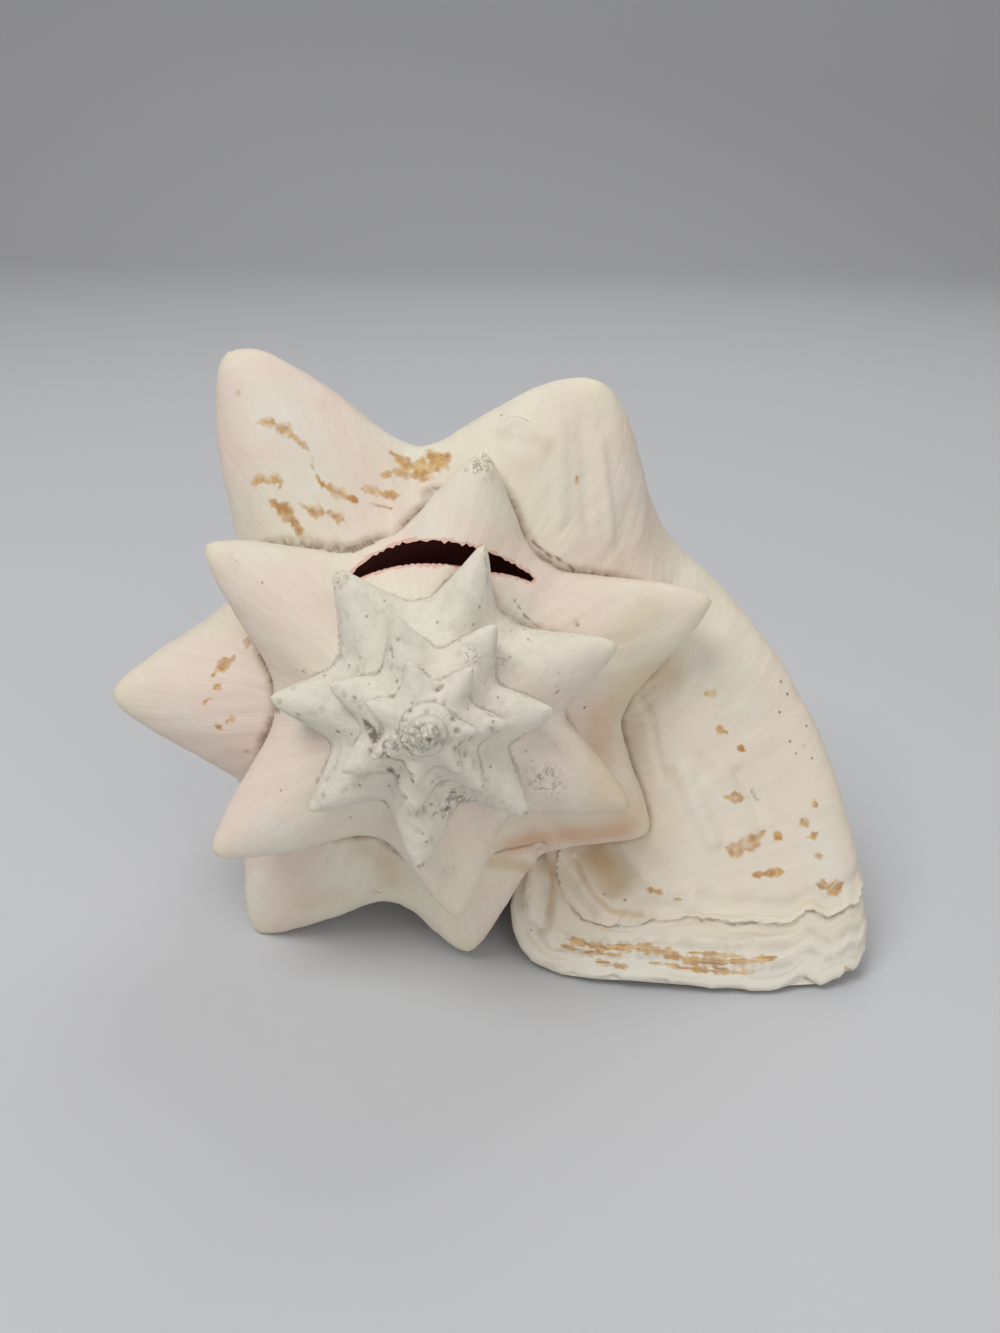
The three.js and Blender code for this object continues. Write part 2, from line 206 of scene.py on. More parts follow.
def coilPoint(turn, index):
    s = sutureShape
    r, z = shoulderRadius(turn), shoulderDepth(turn)
    older = shoulderRadius(turn - 1)
    late = smoothStep(s["lateFrom"], 0, turn)
    channel = smoothStep(*s["channelStarts"], turn) * smoothStep(*s["channelEnds"], -turn)
    drop = s["lateDrop"] * late + s["channelDrop"] * channel + s["drop"]
    suture = (shoulderDepth(turn - 1) + drop * older, (s["reach"] + s["lateReach"] * late) * older)
    if index == 0:
        return suture
    along, out = ([coilShape["shoulder"]] * 3 + coilShape["side"])[index]
    point = (z + along * r, out * r)
    if index == 1:
        return ((suture[0] + point[0]) / 2 - s["lateSag"] * late * r, (suture[1] + point[1]) / 2)
    return point


def profilePoints(station):
    # (n, 9, 3) of depth, radius, turn; past lipFrom each profile point runs its own way to the free edge
    lipFrom = coilShape["lipFrom"]
    share = np.clip((station - lipFrom) / -lipFrom, 0, None)
    points = np.zeros((len(station), 9, 3))
    for i in range(9):
        endTurn = -lipShape["angle"][i] / 360
        turn = np.where(share > 0, lipFrom + (endTurn - lipFrom) * share, station)
        depth, radius = coilPoint(turn, i)
        endDepth, endRadius = coilPoint(np.array(endTurn), i)
        flare = share ** lipShape["flare"][i]
        points[:, i, 0] = depth + (lipShape["depth"][i] - endDepth) * flare
        points[:, i, 1] = radius + (lipShape["radius"][i] - endRadius) * flare
        points[:, i, 2] = turn
    return points


def alongProfile(points, row):
    k = np.array(coilShape["knots"])
    step = k[1:] - k[:-1]
    slope = (points[:, 1:] - points[:, :-1]) / step[:, None]
    tangent = np.empty_like(points)
    tangent[:, 0], tangent[:, -1] = slope[:, 0], slope[:, -1]
    w = (step[1:] / (step[1:] + step[:-1]))[:, None]
    tangent[:, 1:-1] = slope[:, :-1] * w + slope[:, 1:] * (1 - w)
    i = np.clip(np.searchsorted(k, row, side="right") - 1, 0, len(k) - 2)
    span = step[i][..., None]
    u = ((row - k[i]) / step[i])[..., None]
    n = np.arange(len(points))[:, None]
    p0, p1 = points[n, i], points[n, i + 1]
    d0, d1 = tangent[n, i] * span, tangent[n, i + 1] * span
    start = (2 * u**3 - 3 * u**2 + 1) * p0 + (u**3 - 2 * u**2 + u) * d0
    return start + (-2 * u**3 + 3 * u**2) * p1 + (u**3 - u**2) * d1


def allSpines():
    spines = list(largeSpines)
    turn = smallSpines["first"]
    while turn > smallSpines["last"]:
        reach = smallSpines["reach"] * coilShape["tipSize"] * float(growth(turn))
        spines.append((turn, reach, smallSpines["width"], smallSpines["blunt"], None))
        turn -= smallSpines["step"]
    return spines


def spineRise(turn, side):
    s, crest = spineForm, coilShape["shoulder"][1]
    out, along = np.zeros_like(turn), np.zeros_like(turn)
    for at, reach, wide, blunt, slip in allSpines():
        if at < turn.min() - s["farTurns"] or at > turn.max() + s["farTurns"]:
            continue
        r = float(shoulderRadius(at))
        height = reach - crest * r
        around, above, below = (s[way][0] * height + s[way][1] * r for way in ("around", "above", "below"))
        across = np.where(side < 0, above, below)
        x = 2 * math.pi * crest * r * (turn - at) / (around * wide)
        away = np.sqrt(x * x + (side / across) ** 2 + blunt) - math.sqrt(blunt)
        share = np.clip(1 - away, 0, 1) ** s["sharpness"]
        out += height * share
        along += (-s["lean"] * height if slip is None else slip) * share
    return out, along


def plainPlace(station, row):
    return alongProfile(profilePoints(station), row)


def spinyPlace(station, row):
    points = profilePoints(station)
    here = alongProfile(points, row)
    crest = alongProfile(points, np.full((len(station), 1), coilShape["shoulderRow"]))
    away = np.hypot(here[..., 0] - crest[..., 0], here[..., 1] - crest[..., 1])
    out, along = spineRise(here[..., 2], np.sign(row - coilShape["shoulderRow"]) * away)
    rising = smoothStep(0, spineForm["sutureFade"], row)
    return np.stack([here[..., 0] + along * rising, here[..., 1] + out * rising, here[..., 2]], -1)


def toSpace(place):
    angle = 2 * math.pi * place[..., 2]
    return np.stack([place[..., 1] * np.cos(angle), place[..., 1] * np.sin(angle), place[..., 0]], -1)


def plainNormal(station, row):
    before, after = station - stretchShape["turnStep"], np.minimum(station + stretchShape["turnStep"], 0)
    alongTurn = toSpace(plainPlace(after, row)) - toSpace(plainPlace(before, row))
    above, below = np.clip(row - stretchShape["rowStep"], 0, 1), np.clip(row + stretchShape["rowStep"], 0, 1)
    alongRow = toSpace(plainPlace(station, below)) - toSpace(plainPlace(station, above))
    normal = np.cross(alongTurn, alongRow)
    return normal / (np.linalg.norm(normal, axis=-1, keepdims=True) + 1e-9)


def wallAt(station, row):
    s = wallShape
    base = s["body"] + (s["lip"] - s["body"]) * smoothStep(coilShape["lipFrom"], 0, station)
    thinner = np.minimum(1, s["least"] + s["gain"] * growth(station) / growth(s["fullAt"]))
    return (base * thinner)[:, None] * (1 - s["endThin"] * smoothStep(s["endFrom"], 1, row))


settleTurn = (Matrix.Rotation(math.radians(restShape["roll"]), 3, "Y")
              @ Matrix.Rotation(math.radians(restShape["pitch"]), 3, "X"))
coilTurn = settleTurn @ Matrix.Rotation(math.radians(-90 - restShape["axisFall"]), 3, "X")


def toRest(points):
    return (points @ np.array(coilTurn).T + np.array(restShape["shift"])) / 1000


# Stretches of the coil run a little into each other, their ends sunk, and then join into one body; the
# steps are those the skin's normal is taken over
stretchShape = {
    "overlap": 0.012,
    "sink": 0.16,
    "rowShare": 0.012,
    "turnStep": 0.002,
    "rowStep": 0.004,
    # extra columns close to the free edge, and the distance from it that other stretches are given
    "edgeColumns": [0.6, 0.3, 0.12, 0.04],
    "farGap": 99.0,
    # where a filled stretch closes on the axis: turns back into the older whorl, millimetres below the rows
    "closing": (0.9, 2),
}
# places on both skins with their turn, row, side and distance from the free edge
skinSamples = []


def columnSet(low, high, count, freeEnd):
    half, sink = stretchShape["overlap"] / 2, stretchShape["sink"]
    inner = np.linspace(low + half, high if freeEnd else high - half, count)
    if freeEnd:
        edge = high - (inner[-1] - inner[-2]) * np.array(stretchShape["edgeColumns"])
        inner = np.sort(np.concatenate([inner, edge]))
    ends = [] if freeEnd else [high + half]
    stations = np.concatenate([[low - half], inner, ends])
    return stations, np.concatenate([[sink], np.zeros(len(inner)), [sink] * len(ends)])


def rowSet(upper, lower, split=0.34):
    return np.concatenate([np.linspace(0, split, upper, endpoint=False), np.linspace(split, 1, lower)])


def edgeWear(rows):
    table = np.array(lipShape["notch"])
    wear = np.interp(rows, table[:, 0], table[:, 1])
    for at, wide, deep in lipShape["bites"]:
        wear += deep * np.clip(1 - ((rows - at) / wide) ** 2, 0, 1) ** 2
    waves = sum(size * np.sin(rows * rate + shift) for size, rate, shift in lipShape["waves"])
    return wear + lipShape["ragged"] * (1 + waves) * smoothStep(*lipShape["raggedFrom"], rows)


def fromEdge(skin):
    steps = np.linalg.norm(np.diff(skin, axis=0), axis=-1)
    return np.concatenate([np.cumsum(steps[::-1], 0)[::-1], np.zeros((1, skin.shape[1]))])


def pullEdge(skin, others, wear):
    # draws the last part of each row back along itself, most at the free edge
    gone = fromEdge(skin)
    wanted = gone + wear * np.clip(1 - gone / lipShape["pullReach"], 0, 1) ** 2
    moved = [np.empty_like(grid) for grid in [skin] + others]
    for j in range(skin.shape[1]):
        for grid, new in zip([skin] + others, moved):
            columns = grid[:, j].reshape(len(gone), -1)
            found = [np.interp(-wanted[:, j], -gone[:, j], columns[:, k]) for k in range(columns.shape[1])]
            new[:, j] = np.stack(found, -1).reshape(new[:, j].shape)
    return moved


def skinGrid(stations, sunk, rows, inside, rounded):
    squeeze = stretchShape["rowShare"]
    row = np.where(sunk[:, None] > 0, squeeze + rows * (1 - 2 * squeeze), rows)
    normal = plainNormal(stations, row)
    thickness = wallAt(stations, row)
    skin = toSpace(plainPlace(stations, row) if inside else spinyPlace(stations, row))
    depth = (thickness - sunk[:, None]) if inside else np.broadcast_to(sunk[:, None], row.shape).copy()
    if rounded:
        skin, normal, thickness, depth = pullEdge(skin, [normal, thickness, depth], edgeWear(rows))
        # both skins close over a rounded edge in the last stretch before it
        gone = fromEdge(skin)
        share = np.clip(1 - gone / lipShape["roundEdge"], 0, 1)
        closing = lipShape["edgeClose"] * thickness * (1 - np.sqrt(1 - share**2))
        depth = depth + (-closing if inside else closing)
        return skin - normal * depth[..., None], gone
    return skin - normal * depth[..., None], np.full(row.shape, stretchShape["farGap"])


class SolidDraft:
    def __init__(self):
        self.points, self.faces, self.count = [], [], 0

    def addPoints(self, points, turns, rows, inside, gap=stretchShape["farGap"]):
        points = np.asarray(points, float).reshape(-1, 3)
        self.points.append(points)
        given = (np.asarray(v, float).ravel() for v in (turns, rows, inside, gap))
        labels = [np.broadcast_to(values, len(points)) for values in given]
        skinSamples.append(np.column_stack([toRest(points)] + labels))
        self.count += len(points)
        return self.count - len(points)

    def addGrid(self, skin, stations, rows, inside):
        grid, gap = skin
        n, m = grid.shape[:2]
        first = self.addPoints(grid, np.repeat(stations, m), np.tile(rows, n), inside, gap)
        a = (first + np.arange(n - 1)[:, None] * m + np.arange(m - 1)[None]).ravel()
        quads = np.stack([a, a + m, a + m + 1, a + 1], -1)
        self.faces += (quads[:, ::-1] if inside else quads).tolist()
        return first + np.arange(n * m).reshape(n, m)

    def zipLines(self, lineA, lineB, flip):
        # joins two lines of points that run the same way but differ in count
        i, j, lastA, lastB = 0, 0, len(lineA) - 1, len(lineB) - 1
        while i < lastA or j < lastB:
            if j == lastB or (i < lastA and (i + 1) / lastA <= (j + 1) / lastB):
                face = [lineA[i], lineA[i + 1], lineB[j]]
                i += 1
            else:
                face = [lineA[i], lineB[j + 1], lineB[j]]
                j += 1
            self.faces.append(face[::-1] if flip else face)

    def build(self, name):
        mesh = bpy.data.meshes.new(name)
        faces = [tuple(int(i) for i in face) for face in self.faces]
        mesh.from_pydata(toRest(np.concatenate(self.points)).tolist(), [], faces)
        return addObject(name, mesh)


def wallStretch(low, high, outerCount, outerRows, innerCount, innerRows, freeEnd=False):
    draft = SolidDraft()
    skins = []
    for inside, count, split in ((False, outerCount, outerRows), (True, innerCount, innerRows)):
        stations, sunk = columnSet(low, high, count, freeEnd)
        rows = rowSet(*split)
        skins.append(draft.addGrid(skinGrid(stations, sunk, rows, inside, freeEnd), stations, rows, inside))
    outer, inner = skins
    draft.zipLines(outer[0], inner[0], False)
    draft.zipLines(outer[-1], inner[-1], True)
    draft.zipLines(outer[:, 0], inner[:, 0], True)
    draft.zipLines(outer[:, -1], inner[:, -1], False)
    return draft.build("wallStretch")


def filledStretch(low, high, count, split, kept):
    draft = SolidDraft()
    stations, sunk = columnSet(low, high, count, False)
    rows = rowSet(*split)[:kept]
    g = draft.addGrid(skinGrid(stations, sunk, rows, False, False), stations, rows, False)
    # fans close it towards two points on the axis
    back, below = stretchShape["closing"]
    topDepth = float(shoulderDepth(stations[0] - back))
    bottomDepth = float(plainPlace(stations[-1:], rows[None, -1:])[0, 0, 0]) + below
    top = draft.addPoints([(0, 0, topDepth)], low, 0, False)
    bottom = draft.addPoints([(0, 0, bottomDepth)], high, 1, False)
    for c in range(len(stations) - 1):
        draft.faces += [(top, g[c + 1, 0], g[c, 0]), (bottom, g[c, -1], g[c + 1, -1])]
    for r in range(len(rows) - 1):
        draft.faces += [(bottom, g[0, r], g[0, r + 1]), (bottom, g[-1, r + 1], g[-1, r])]
    draft.faces += [(bottom, top, g[0, 0]), (bottom, g[-1, 0], top)]
    return draft.build("filledStretch")


def pillar(levels, around, turn, row):
    draft = SolidDraft()
    angle = np.linspace(0, 2 * math.pi, around, endpoint=False)
    rings = [
        [(radius * math.cos(a), radius * math.sin(a), depth) for a in angle] for depth, radius in levels
    ]
    first = draft.addPoints(rings, turn, row, 0)
    low = draft.addPoints([(0, 0, levels[0][0])], turn, row, 0)
    high = draft.addPoints([(0, 0, levels[-1][0])], turn, row, 0)
    last = first + (len(levels) - 1) * around
    for i in range(around):
        j = (i + 1) % around
        for base in range(first, last, around):
            draft.faces.append((base + i, base + j, base + j + around, base + i + around))
        draft.faces += [(low, first + j, first + i), (high, last + i, last + j)]
    return draft.build("pillar")


# Broken slot through the ramp: angle, inner and outer radius, with ragged sides between two depths
slotShape = {
    "stations": [
        (122, 33.6, 34.6), (112, 33.2, 36.4), (100, 32.8, 37.6), (88, 32.6, 37.9),
        (76, 32.8, 37.8), (64, 33.8, 37.6), (50, 36.6, 37.6),
    ],
    "top": 33.0,
    "bottom": 54.0,
    "ragged": 0.35,
    "steps": 60,
    # how far the broken sides reach beyond the cut: inwards, outwards and down, in millimetres
    "sides": (0.5, 0.7, 14),
}


def slotCutter():
    s = slotShape
    draft = SolidDraft()
    table = np.array(s["stations"][::-1])
    angle = np.linspace(table[-1, 0], table[0, 0], s["steps"])
    inner = np.interp(angle, table[:, 0], table[:, 1])
    outer = np.interp(angle, table[:, 0], table[:, 2])
    ragged = np.sin(angle * 1.7) * np.sin(angle * 0.61 + 1) + 0.6 * np.sin(angle * 3.1 + 2)
    taper = np.sin(np.linspace(0, math.pi, s["steps"])) ** 0.5
    outer = outer + s["ragged"] * ragged * taper
    inner = inner + 0.4 * s["ragged"] * np.sin(angle * 2.3) * taper
    c, sn = np.cos(np.radians(angle)), -np.sin(np.radians(angle))
    corners = [(inner, s["top"]), (outer, s["top"]), (outer, s["bottom"]), (inner, s["bottom"])]
    rings = np.stack([
        np.stack([radius * c, radius * sn, np.full(len(c), depth)], -1) for radius, depth in corners
    ], 1)
    draft.points.append(rings.reshape(-1, 3))
    for k in range(s["steps"] - 1):
        for j in range(4):
            a, b = k * 4 + j, k * 4 + (j + 1) % 4
            draft.faces.append((a, a + 4, b + 4, b))
    e = (s["steps"] - 1) * 4
    draft.faces += [(0, 1, 2, 3), (e + 3, e + 2, e + 1, e)]
    return draft.build("slotCutter")


def joinSolid(body, other, operation):
    modifier = body.modifiers.new("join", "BOOLEAN")
    modifier.operation, modifier.solver, modifier.object = operation, "MANIFOLD", other
    evaluated = body.evaluated_get(bpy.context.evaluated_depsgraph_get())
    mesh = bpy.data.meshes.new_from_object(evaluated)
    body.modifiers.clear()
    body.data = mesh
    bpy.data.objects.remove(other)


def keepLargest(mesh):
    # drops the specks thrown off where two stretches graze each other
    a, b = edgeEnds(mesh)
    label = np.arange(len(mesh.vertices))
    while True:
        low = np.minimum(label[a], label[b])
        new = label.copy()
        np.minimum.at(new, a, low)
        np.minimum.at(new, b, low)
        new = new[new]
        if (new == label).all():
            break
        label = new
    values, counts = np.unique(label, return_counts=True)
    keep = label == values[counts.argmax()]
    number = np.cumsum(keep) - 1
    faces = [tuple(int(number[i]) for i in p.vertices) for p in mesh.polygons if keep[p.vertices[0]]]
    clean = bpy.data.meshes.new("conchShell")
    clean.from_pydata(vertexPlaces(mesh)[keep].tolist(), [], faces)
    return clean


def mendFaces(mesh, largest, tooShort=None):
    # takes out points with only two edges, which fold faces onto each other, and cuts up larger faces
    draft = bmesh.new()
    draft.from_mesh(mesh)
    if tooShort:
        bmesh.ops.dissolve_degenerate(draft, edges=draft.edges, dist=tooShort)
    for _ in range(3):
        bmesh.ops.dissolve_verts(draft, verts=[v for v in draft.verts if len(v.link_edges) == 2])
    bmesh.ops.triangulate(draft, faces=[f for f in draft.faces if len(f.verts) > largest])
    draft.to_mesh(mesh)
    draft.free()


# The body's stretches by turns: first, last, columns and rows before and after the split, for the walls on
# the outside and then on the inside, and how many of the rows a filled stretch keeps. The two pillars fill
# the axis: depths and radii, points around, turn and row
bodyShape = {
    "lip": (-0.25, 0, 190, (88, 60), 60, (24, 26)),
    "walls": [
        (-0.95, -0.25, 190, (50, 52), 60, (20, 20)),
        (-1.5, -0.95, 140, (50, 26), 44, (18, 14)),
    ],
    "filled": [
        (-2.4, -1.5, 200, (44, 10), 54),
        (-3.3, -2.4, 150, (34, 30), 48),
        (-4.2, -3.3, 110, (24, 10), 34),
        (-5.1, -4.2, 80, (24, 10), 34),
        (-5.9, -5.1, 50, (12, 6), 18),
        (-6.7, -5.9, 44, (10, 5), 15),
        (-7.6, -6.7, 44, (8, 4), 12),
    ],
    "pillars": [
        ([(18, 2.14), (217, 10.3), (223, 6.3)], 28, -0.5, 1),
        ([(1.3, 0.5), (1.7, 1.2), (2.6, 1.7), (4, 1.9)], 24, -7.6, 0.2),
    ],
    "tooShort": 1.0e-6,
}


def buildBody():
    s = bodyShape
    body = wallStretch(*s["lip"], True)
    parts = [wallStretch(*stretch) for stretch in s["walls"]]
    parts += [filledStretch(*stretch) for stretch in s["filled"]]
    parts += [pillar(*settings) for settings in s["pillars"]]
    for part in parts:
        joinSolid(body, part, "UNION")
    joinSolid(body, slotCutter(), "DIFFERENCE")
    body.data = keepLargest(body.data)
    mendFaces(body.data, 4, s["tooShort"])
    body.name = "conchShell"
    return body


shell = buildBody()
print("stage 2: coil joined,", len(shell.data.polygons), "faces")


def setField(mesh, name, values):
    field = mesh.attributes.get(name) or mesh.attributes.new(name, "FLOAT", "POINT")
    field.data.foreach_set("value", np.asarray(values, np.float32))


def readField(mesh, name):
    values = np.zeros(len(mesh.vertices))
    mesh.attributes[name].data.foreach_get("value", values)
    return values


def labelSkin(mesh):
    # turn, row, side and edge distance of each point of the body, from the nearest places on its skins
    samples = np.concatenate(skinSamples)
    tree = placeTree(samples[:, :3])
    nearest = [tree.find(place)[1] for place in vertexPlaces(mesh)]
    for name, values in zip(("turn", "row", "inside", "gap"), samples[nearest, 3:].T):
        setField(mesh, name, values)


labelSkin(shell.data)
print("stage 3: skin labelled")

# The photo's frame and the camera that took it
cameraView = {
    "photoSize": (1000, 1333),
    "focalPixels": 1150,
    "azimuth": 1.8,
    "elevation": 25.0,
    "apexPixel": (425, 738),
    "apexAhead": 226.24,
    "sensor": 36.0,
}


def makeCamera():
    v = cameraView
    az, el = math.radians(v["azimuth"]), math.radians(v["elevation"])
    ahead = Vector((math.sin(az) * math.cos(el), math.cos(az) * math.cos(el), -math.sin(el)))
    right = Vector((math.cos(az), -math.sin(az), 0))
    up = right.cross(ahead)
    ahead, right, up = settleTurn @ ahead, settleTurn @ right, settleTurn @ up
    across = (v["apexPixel"][0] - v["photoSize"][0] / 2) / v["focalPixels"]
    down = (v["apexPixel"][1] - v["photoSize"][1] / 2) / v["focalPixels"]
    apex = Vector(restShape["shift"]) / 1000
    place = apex - (ahead + across * right - down * up) * v["apexAhead"] / 1000
    data = bpy.data.cameras.new("photoCamera")
    data.sensor_width = v["sensor"]
    data.lens = v["focalPixels"] * v["sensor"] / max(v["photoSize"])
    data.clip_start, data.clip_end = 0.01, 20
    camera = addObject("photoCamera", data)
    turn = Matrix((right, up, -ahead)).transposed()
    camera.matrix_world = Matrix.Translation(place) @ turn.to_4x4()
    bpy.context.scene.camera = camera
    return place, ahead, right, up


eye, viewAhead, viewRight, viewUp = makeCamera()


class NodePen:
    # writes field, math, noise and mixing nodes into one tree, and hands on their outputs
    def __init__(self, tree):
        self.tree = tree

    def node(self, kind, inputs=(), **settings):
        node = self.tree.nodes.new(kind)
        for name, value in settings.items():
            setattr(node, name, value)
        for key, value in inputs.items() if isinstance(inputs, dict) else enumerate(inputs):
            if isinstance(value, bpy.types.NodeSocket):
                self.tree.links.new(value, node.inputs[key])
            else:
                node.inputs[key].default_value = value
        return node.outputs

    def fields(self, *names):
        if self.tree.bl_idname == "ShaderNodeTree":
            return [self.node("ShaderNodeAttribute", attribute_name=name)["Fac"] for name in names]
        kind = "GeometryNodeInputNamedAttribute"
        return [self.node(kind, {"Name": name}, data_type="FLOAT")["Attribute"] for name in names]

    def calc(self, operation, a, b=0.0, clamp=False):
        return self.node("ShaderNodeMath", (a, b), operation=operation, use_clamp=clamp)[0]

    def times(self, value, *others):
        for other in others:
            value = self.calc("MULTIPLY", value, other)
        return value

    def plus(self, value, *others):
        for other in others:
            value = self.calc("ADD", value, other)
        return value

    def minus(self, a, b):
        return self.calc("SUBTRACT", a, b)

    def ramp(self, value, low, high, outLow=0.0, outHigh=1.0, smooth=True):
        kind = "SMOOTHSTEP" if smooth else "LINEAR"
        inputs = (value, low, high, outLow, outHigh)
        return self.node("ShaderNodeMapRange", inputs, interpolation_type=kind)[0]

    def spread(self, a, aScale, b, bScale, shift):
        # a place for noise that is drawn out along two fields
        return self.node("ShaderNodeCombineXYZ", (self.times(a, aScale), self.times(b, bScale), shift))[0]

    def noise(self, place, scale, detail=2.0, roughness=0.5, distortion=0.0):
        names = ("Vector", "Scale", "Detail", "Roughness", "Distortion")
        inputs = dict(zip(names, (place, scale, detail, roughness, distortion)))
        return self.node("ShaderNodeTexNoise", inputs)[0]

    def waver(self, place, *form):
        # noise around zero
        return self.minus(self.noise(place, *form), 0.5)

    def patches(self, place, form, *limits):
        # noise of the given scale, detail and roughness, cut between two limits
        return self.ramp(self.noise(place, *form), *limits)

    def mix(self, factor, a, b, blend="MIX"):
        inputs = {0: factor, 6: a, 7: b}
        return self.node("ShaderNodeMix", inputs, data_type="RGBA", blend_type=blend)[2]

    def mixNumber(self, factor, a, b):
        return self.node("ShaderNodeMix", {0: factor, 2: a, 3: b})[0]


# Relief that follows the growth of the shell, sizes in metres and counts per whorl
reliefShape = {
    "Growth Line Height": 0.00055,
    "Growth Lines": 72.0,
    "Cord Height": 0.00055,
    "Cords": 17.0,
    "Wrinkle Height": 0.0009,
    "Lump Height": 0.0011,
    "Pit Depth": 0.0008,
    "Pit Scale": 420.0,
    "Terrace Height": 0.0011,
    "Ripple Height": 0.0009,
    "Crease Angle": 0.75,
    "Seed": 3.0,
}
# where growth stopped for a while: millimetres from the free edge, share of the terrace height, and the
# softness of its foot in millimetres
terraces = [(6.8, 0.35, 2.2), (11.6, 0.25, 2.4), (16.8, 1.0, 0.6), (23.5, 0.15, 2.6)]


def reliefTree(material):
    tree = bpy.data.node_groups.new("shellRelief", "GeometryNodeTree")
    tree.interface.new_socket("Geometry", in_out="INPUT", socket_type="NodeSocketGeometry")
    for name, value in reliefShape.items():
        socket = tree.interface.new_socket(name, in_out="INPUT", socket_type="NodeSocketFloat")
        socket.default_value = value
    tree.interface.new_socket("Geometry", in_out="OUTPUT", socket_type="NodeSocketGeometry")
    pen = NodePen(tree)
    given = pen.node("NodeGroupInput")
    place = pen.node("GeometryNodeInputPosition")[0]
    turn, row, inside, scar, gap = pen.fields("turn", "row", "inside", "scar", "gap")
    # growth lines lie across the whorl, finer where it is younger
    lineAt = pen.spread(turn, given["Growth Lines"], row, 7.0, pen.times(given["Seed"], 7.31))
    size = pen.ramp(turn, -3.0, -0.3, 0.35, 1.0)
    lines = pen.times(pen.waver(lineAt, 1.0, 4.0, 0.62), given["Growth Line Height"], size, 2.4)
    # spiral cords run along the whorl below the shoulder
    wander = pen.noise(pen.spread(turn, 9.0, row, 6.0, 4.0), 1.0)
    phase = pen.times(pen.plus(row, pen.times(wander, 0.06)), given["Cords"])
    wave = pen.calc("SINE", pen.times(phase, 2 * math.pi))
    band = pen.times(pen.ramp(row, 0.30, 0.40), pen.ramp(row, 0.97, 0.85))
    late = pen.ramp(turn, -0.8, -0.2, 0.4, 1.0)
    cords = pen.times(wave, band, pen.times(given["Cord Height"], 0.5), late)
    # short wrinkles where the whorl leans on the one before
    wrinkles = pen.waver(pen.spread(turn, 170.0, row, 9.0, 2.7), 1.0, 2.0, 0.5, 0.4)
    wrinkles = pen.times(wrinkles, pen.ramp(row, 0.085, 0.015), given["Wrinkle Height"], size)
    # slow lumps all over
    lumps = pen.times(pen.waver(place, 62.0, 4.0, 0.55), given["Lump Height"], size)
    # terraces follow the free edge of the lip, a little unevenly
    ledge = pen.plus(gap, pen.times(pen.waver(place, 40.0, 3.0, 0.6), 7.0))
    along = pen.ramp(row, 0.36, 0.30)
    steps = 0.0
    for at, share, soft in terraces:
        rise = pen.calc("POWER", pen.ramp(ledge, at + 5.0, at, 0.0, 1.0, False), 2.0)
        steps = pen.plus(steps, pen.times(rise, pen.ramp(ledge, at - soft, at + 0.05, 0.0, share)))
    steps = pen.times(steps, given["Terrace Height"], along)
    # and the rim between them flows in fine uneven lines
    ripples = pen.waver(pen.spread(ledge, 0.38, row, 16.0, 5.3), 1.0, 3.0, 0.55, 0.4)
    rimOnly = pen.times(along, pen.ramp(ledge, 24.0, 13.0))
    steps = pen.plus(steps, pen.times(ripples, rimOnly, given["Ripple Height"]))
    # worn pits on the old whorls
    age = pen.ramp(turn, -1.9, -3.0)
    cells = pen.node("ShaderNodeTexVoronoi", {"Vector": place, "Scale": given["Pit Scale"]})
    worn = pen.plus(pen.times(pen.patches(place, (150.0, 3.0, 0.6), 0.50, 0.62), age), scar)
    pits = pen.times(pen.ramp(cells["Distance"], 0.42, 0.05), given["Pit Depth"], worn)
    wornAll = pen.plus(pen.times(age, 1.3), pen.times(scar, 2.6))
    rough = pen.times(pen.waver(place, 330.0, 4.0, 0.65), given["Pit Depth"], wornAll)
    total = pen.plus(pen.plus(lines, cords), pen.plus(wrinkles, lumps), steps, pen.minus(rough, pits))
    total = pen.times(total, pen.calc("SUBTRACT", 1.0, inside, True))
    normal = pen.node("GeometryNodeInputNormal")[0]
    push = pen.node("ShaderNodeVectorMath", {0: normal, "Scale": total}, operation="SCALE")[0]
    skin = pen.node("GeometryNodeSetPosition", {"Geometry": given["Geometry"], "Offset": push})[0]
    for name, value in (("pits", pen.times(pits, 1000.0)), ("ledge", ledge)):
        inputs = {"Geometry": skin, "Name": name, "Value": value}
        kept = pen.node("GeometryNodeStoreNamedAttribute", inputs, data_type="FLOAT", domain="POINT")
        skin = kept[0]
    skin = pen.node("GeometryNodeSetShadeSmooth", {"Geometry": skin}, domain="FACE")[0]
    angle = pen.node("GeometryNodeInputMeshEdgeAngle")["Unsigned Angle"]
    inputs = {"A": angle, "B": given["Crease Angle"]}
    sharp = pen.node("FunctionNodeCompare", inputs, data_type="FLOAT", operation="GREATER_THAN")[0]
    inputs = {"Geometry": skin, "Selection": sharp, "Shade Smooth": False}
    skin = pen.node("GeometryNodeSetShadeSmooth", inputs, domain="EDGE")[0]
    skin = pen.node("GeometryNodeRealizeInstances", {0: skin})[0]
    skin = pen.node("GeometryNodeSetMaterial", {"Geometry": skin, "Material": material})[0]
    pen.node("NodeGroupOutput", {0: skin})
    return tree


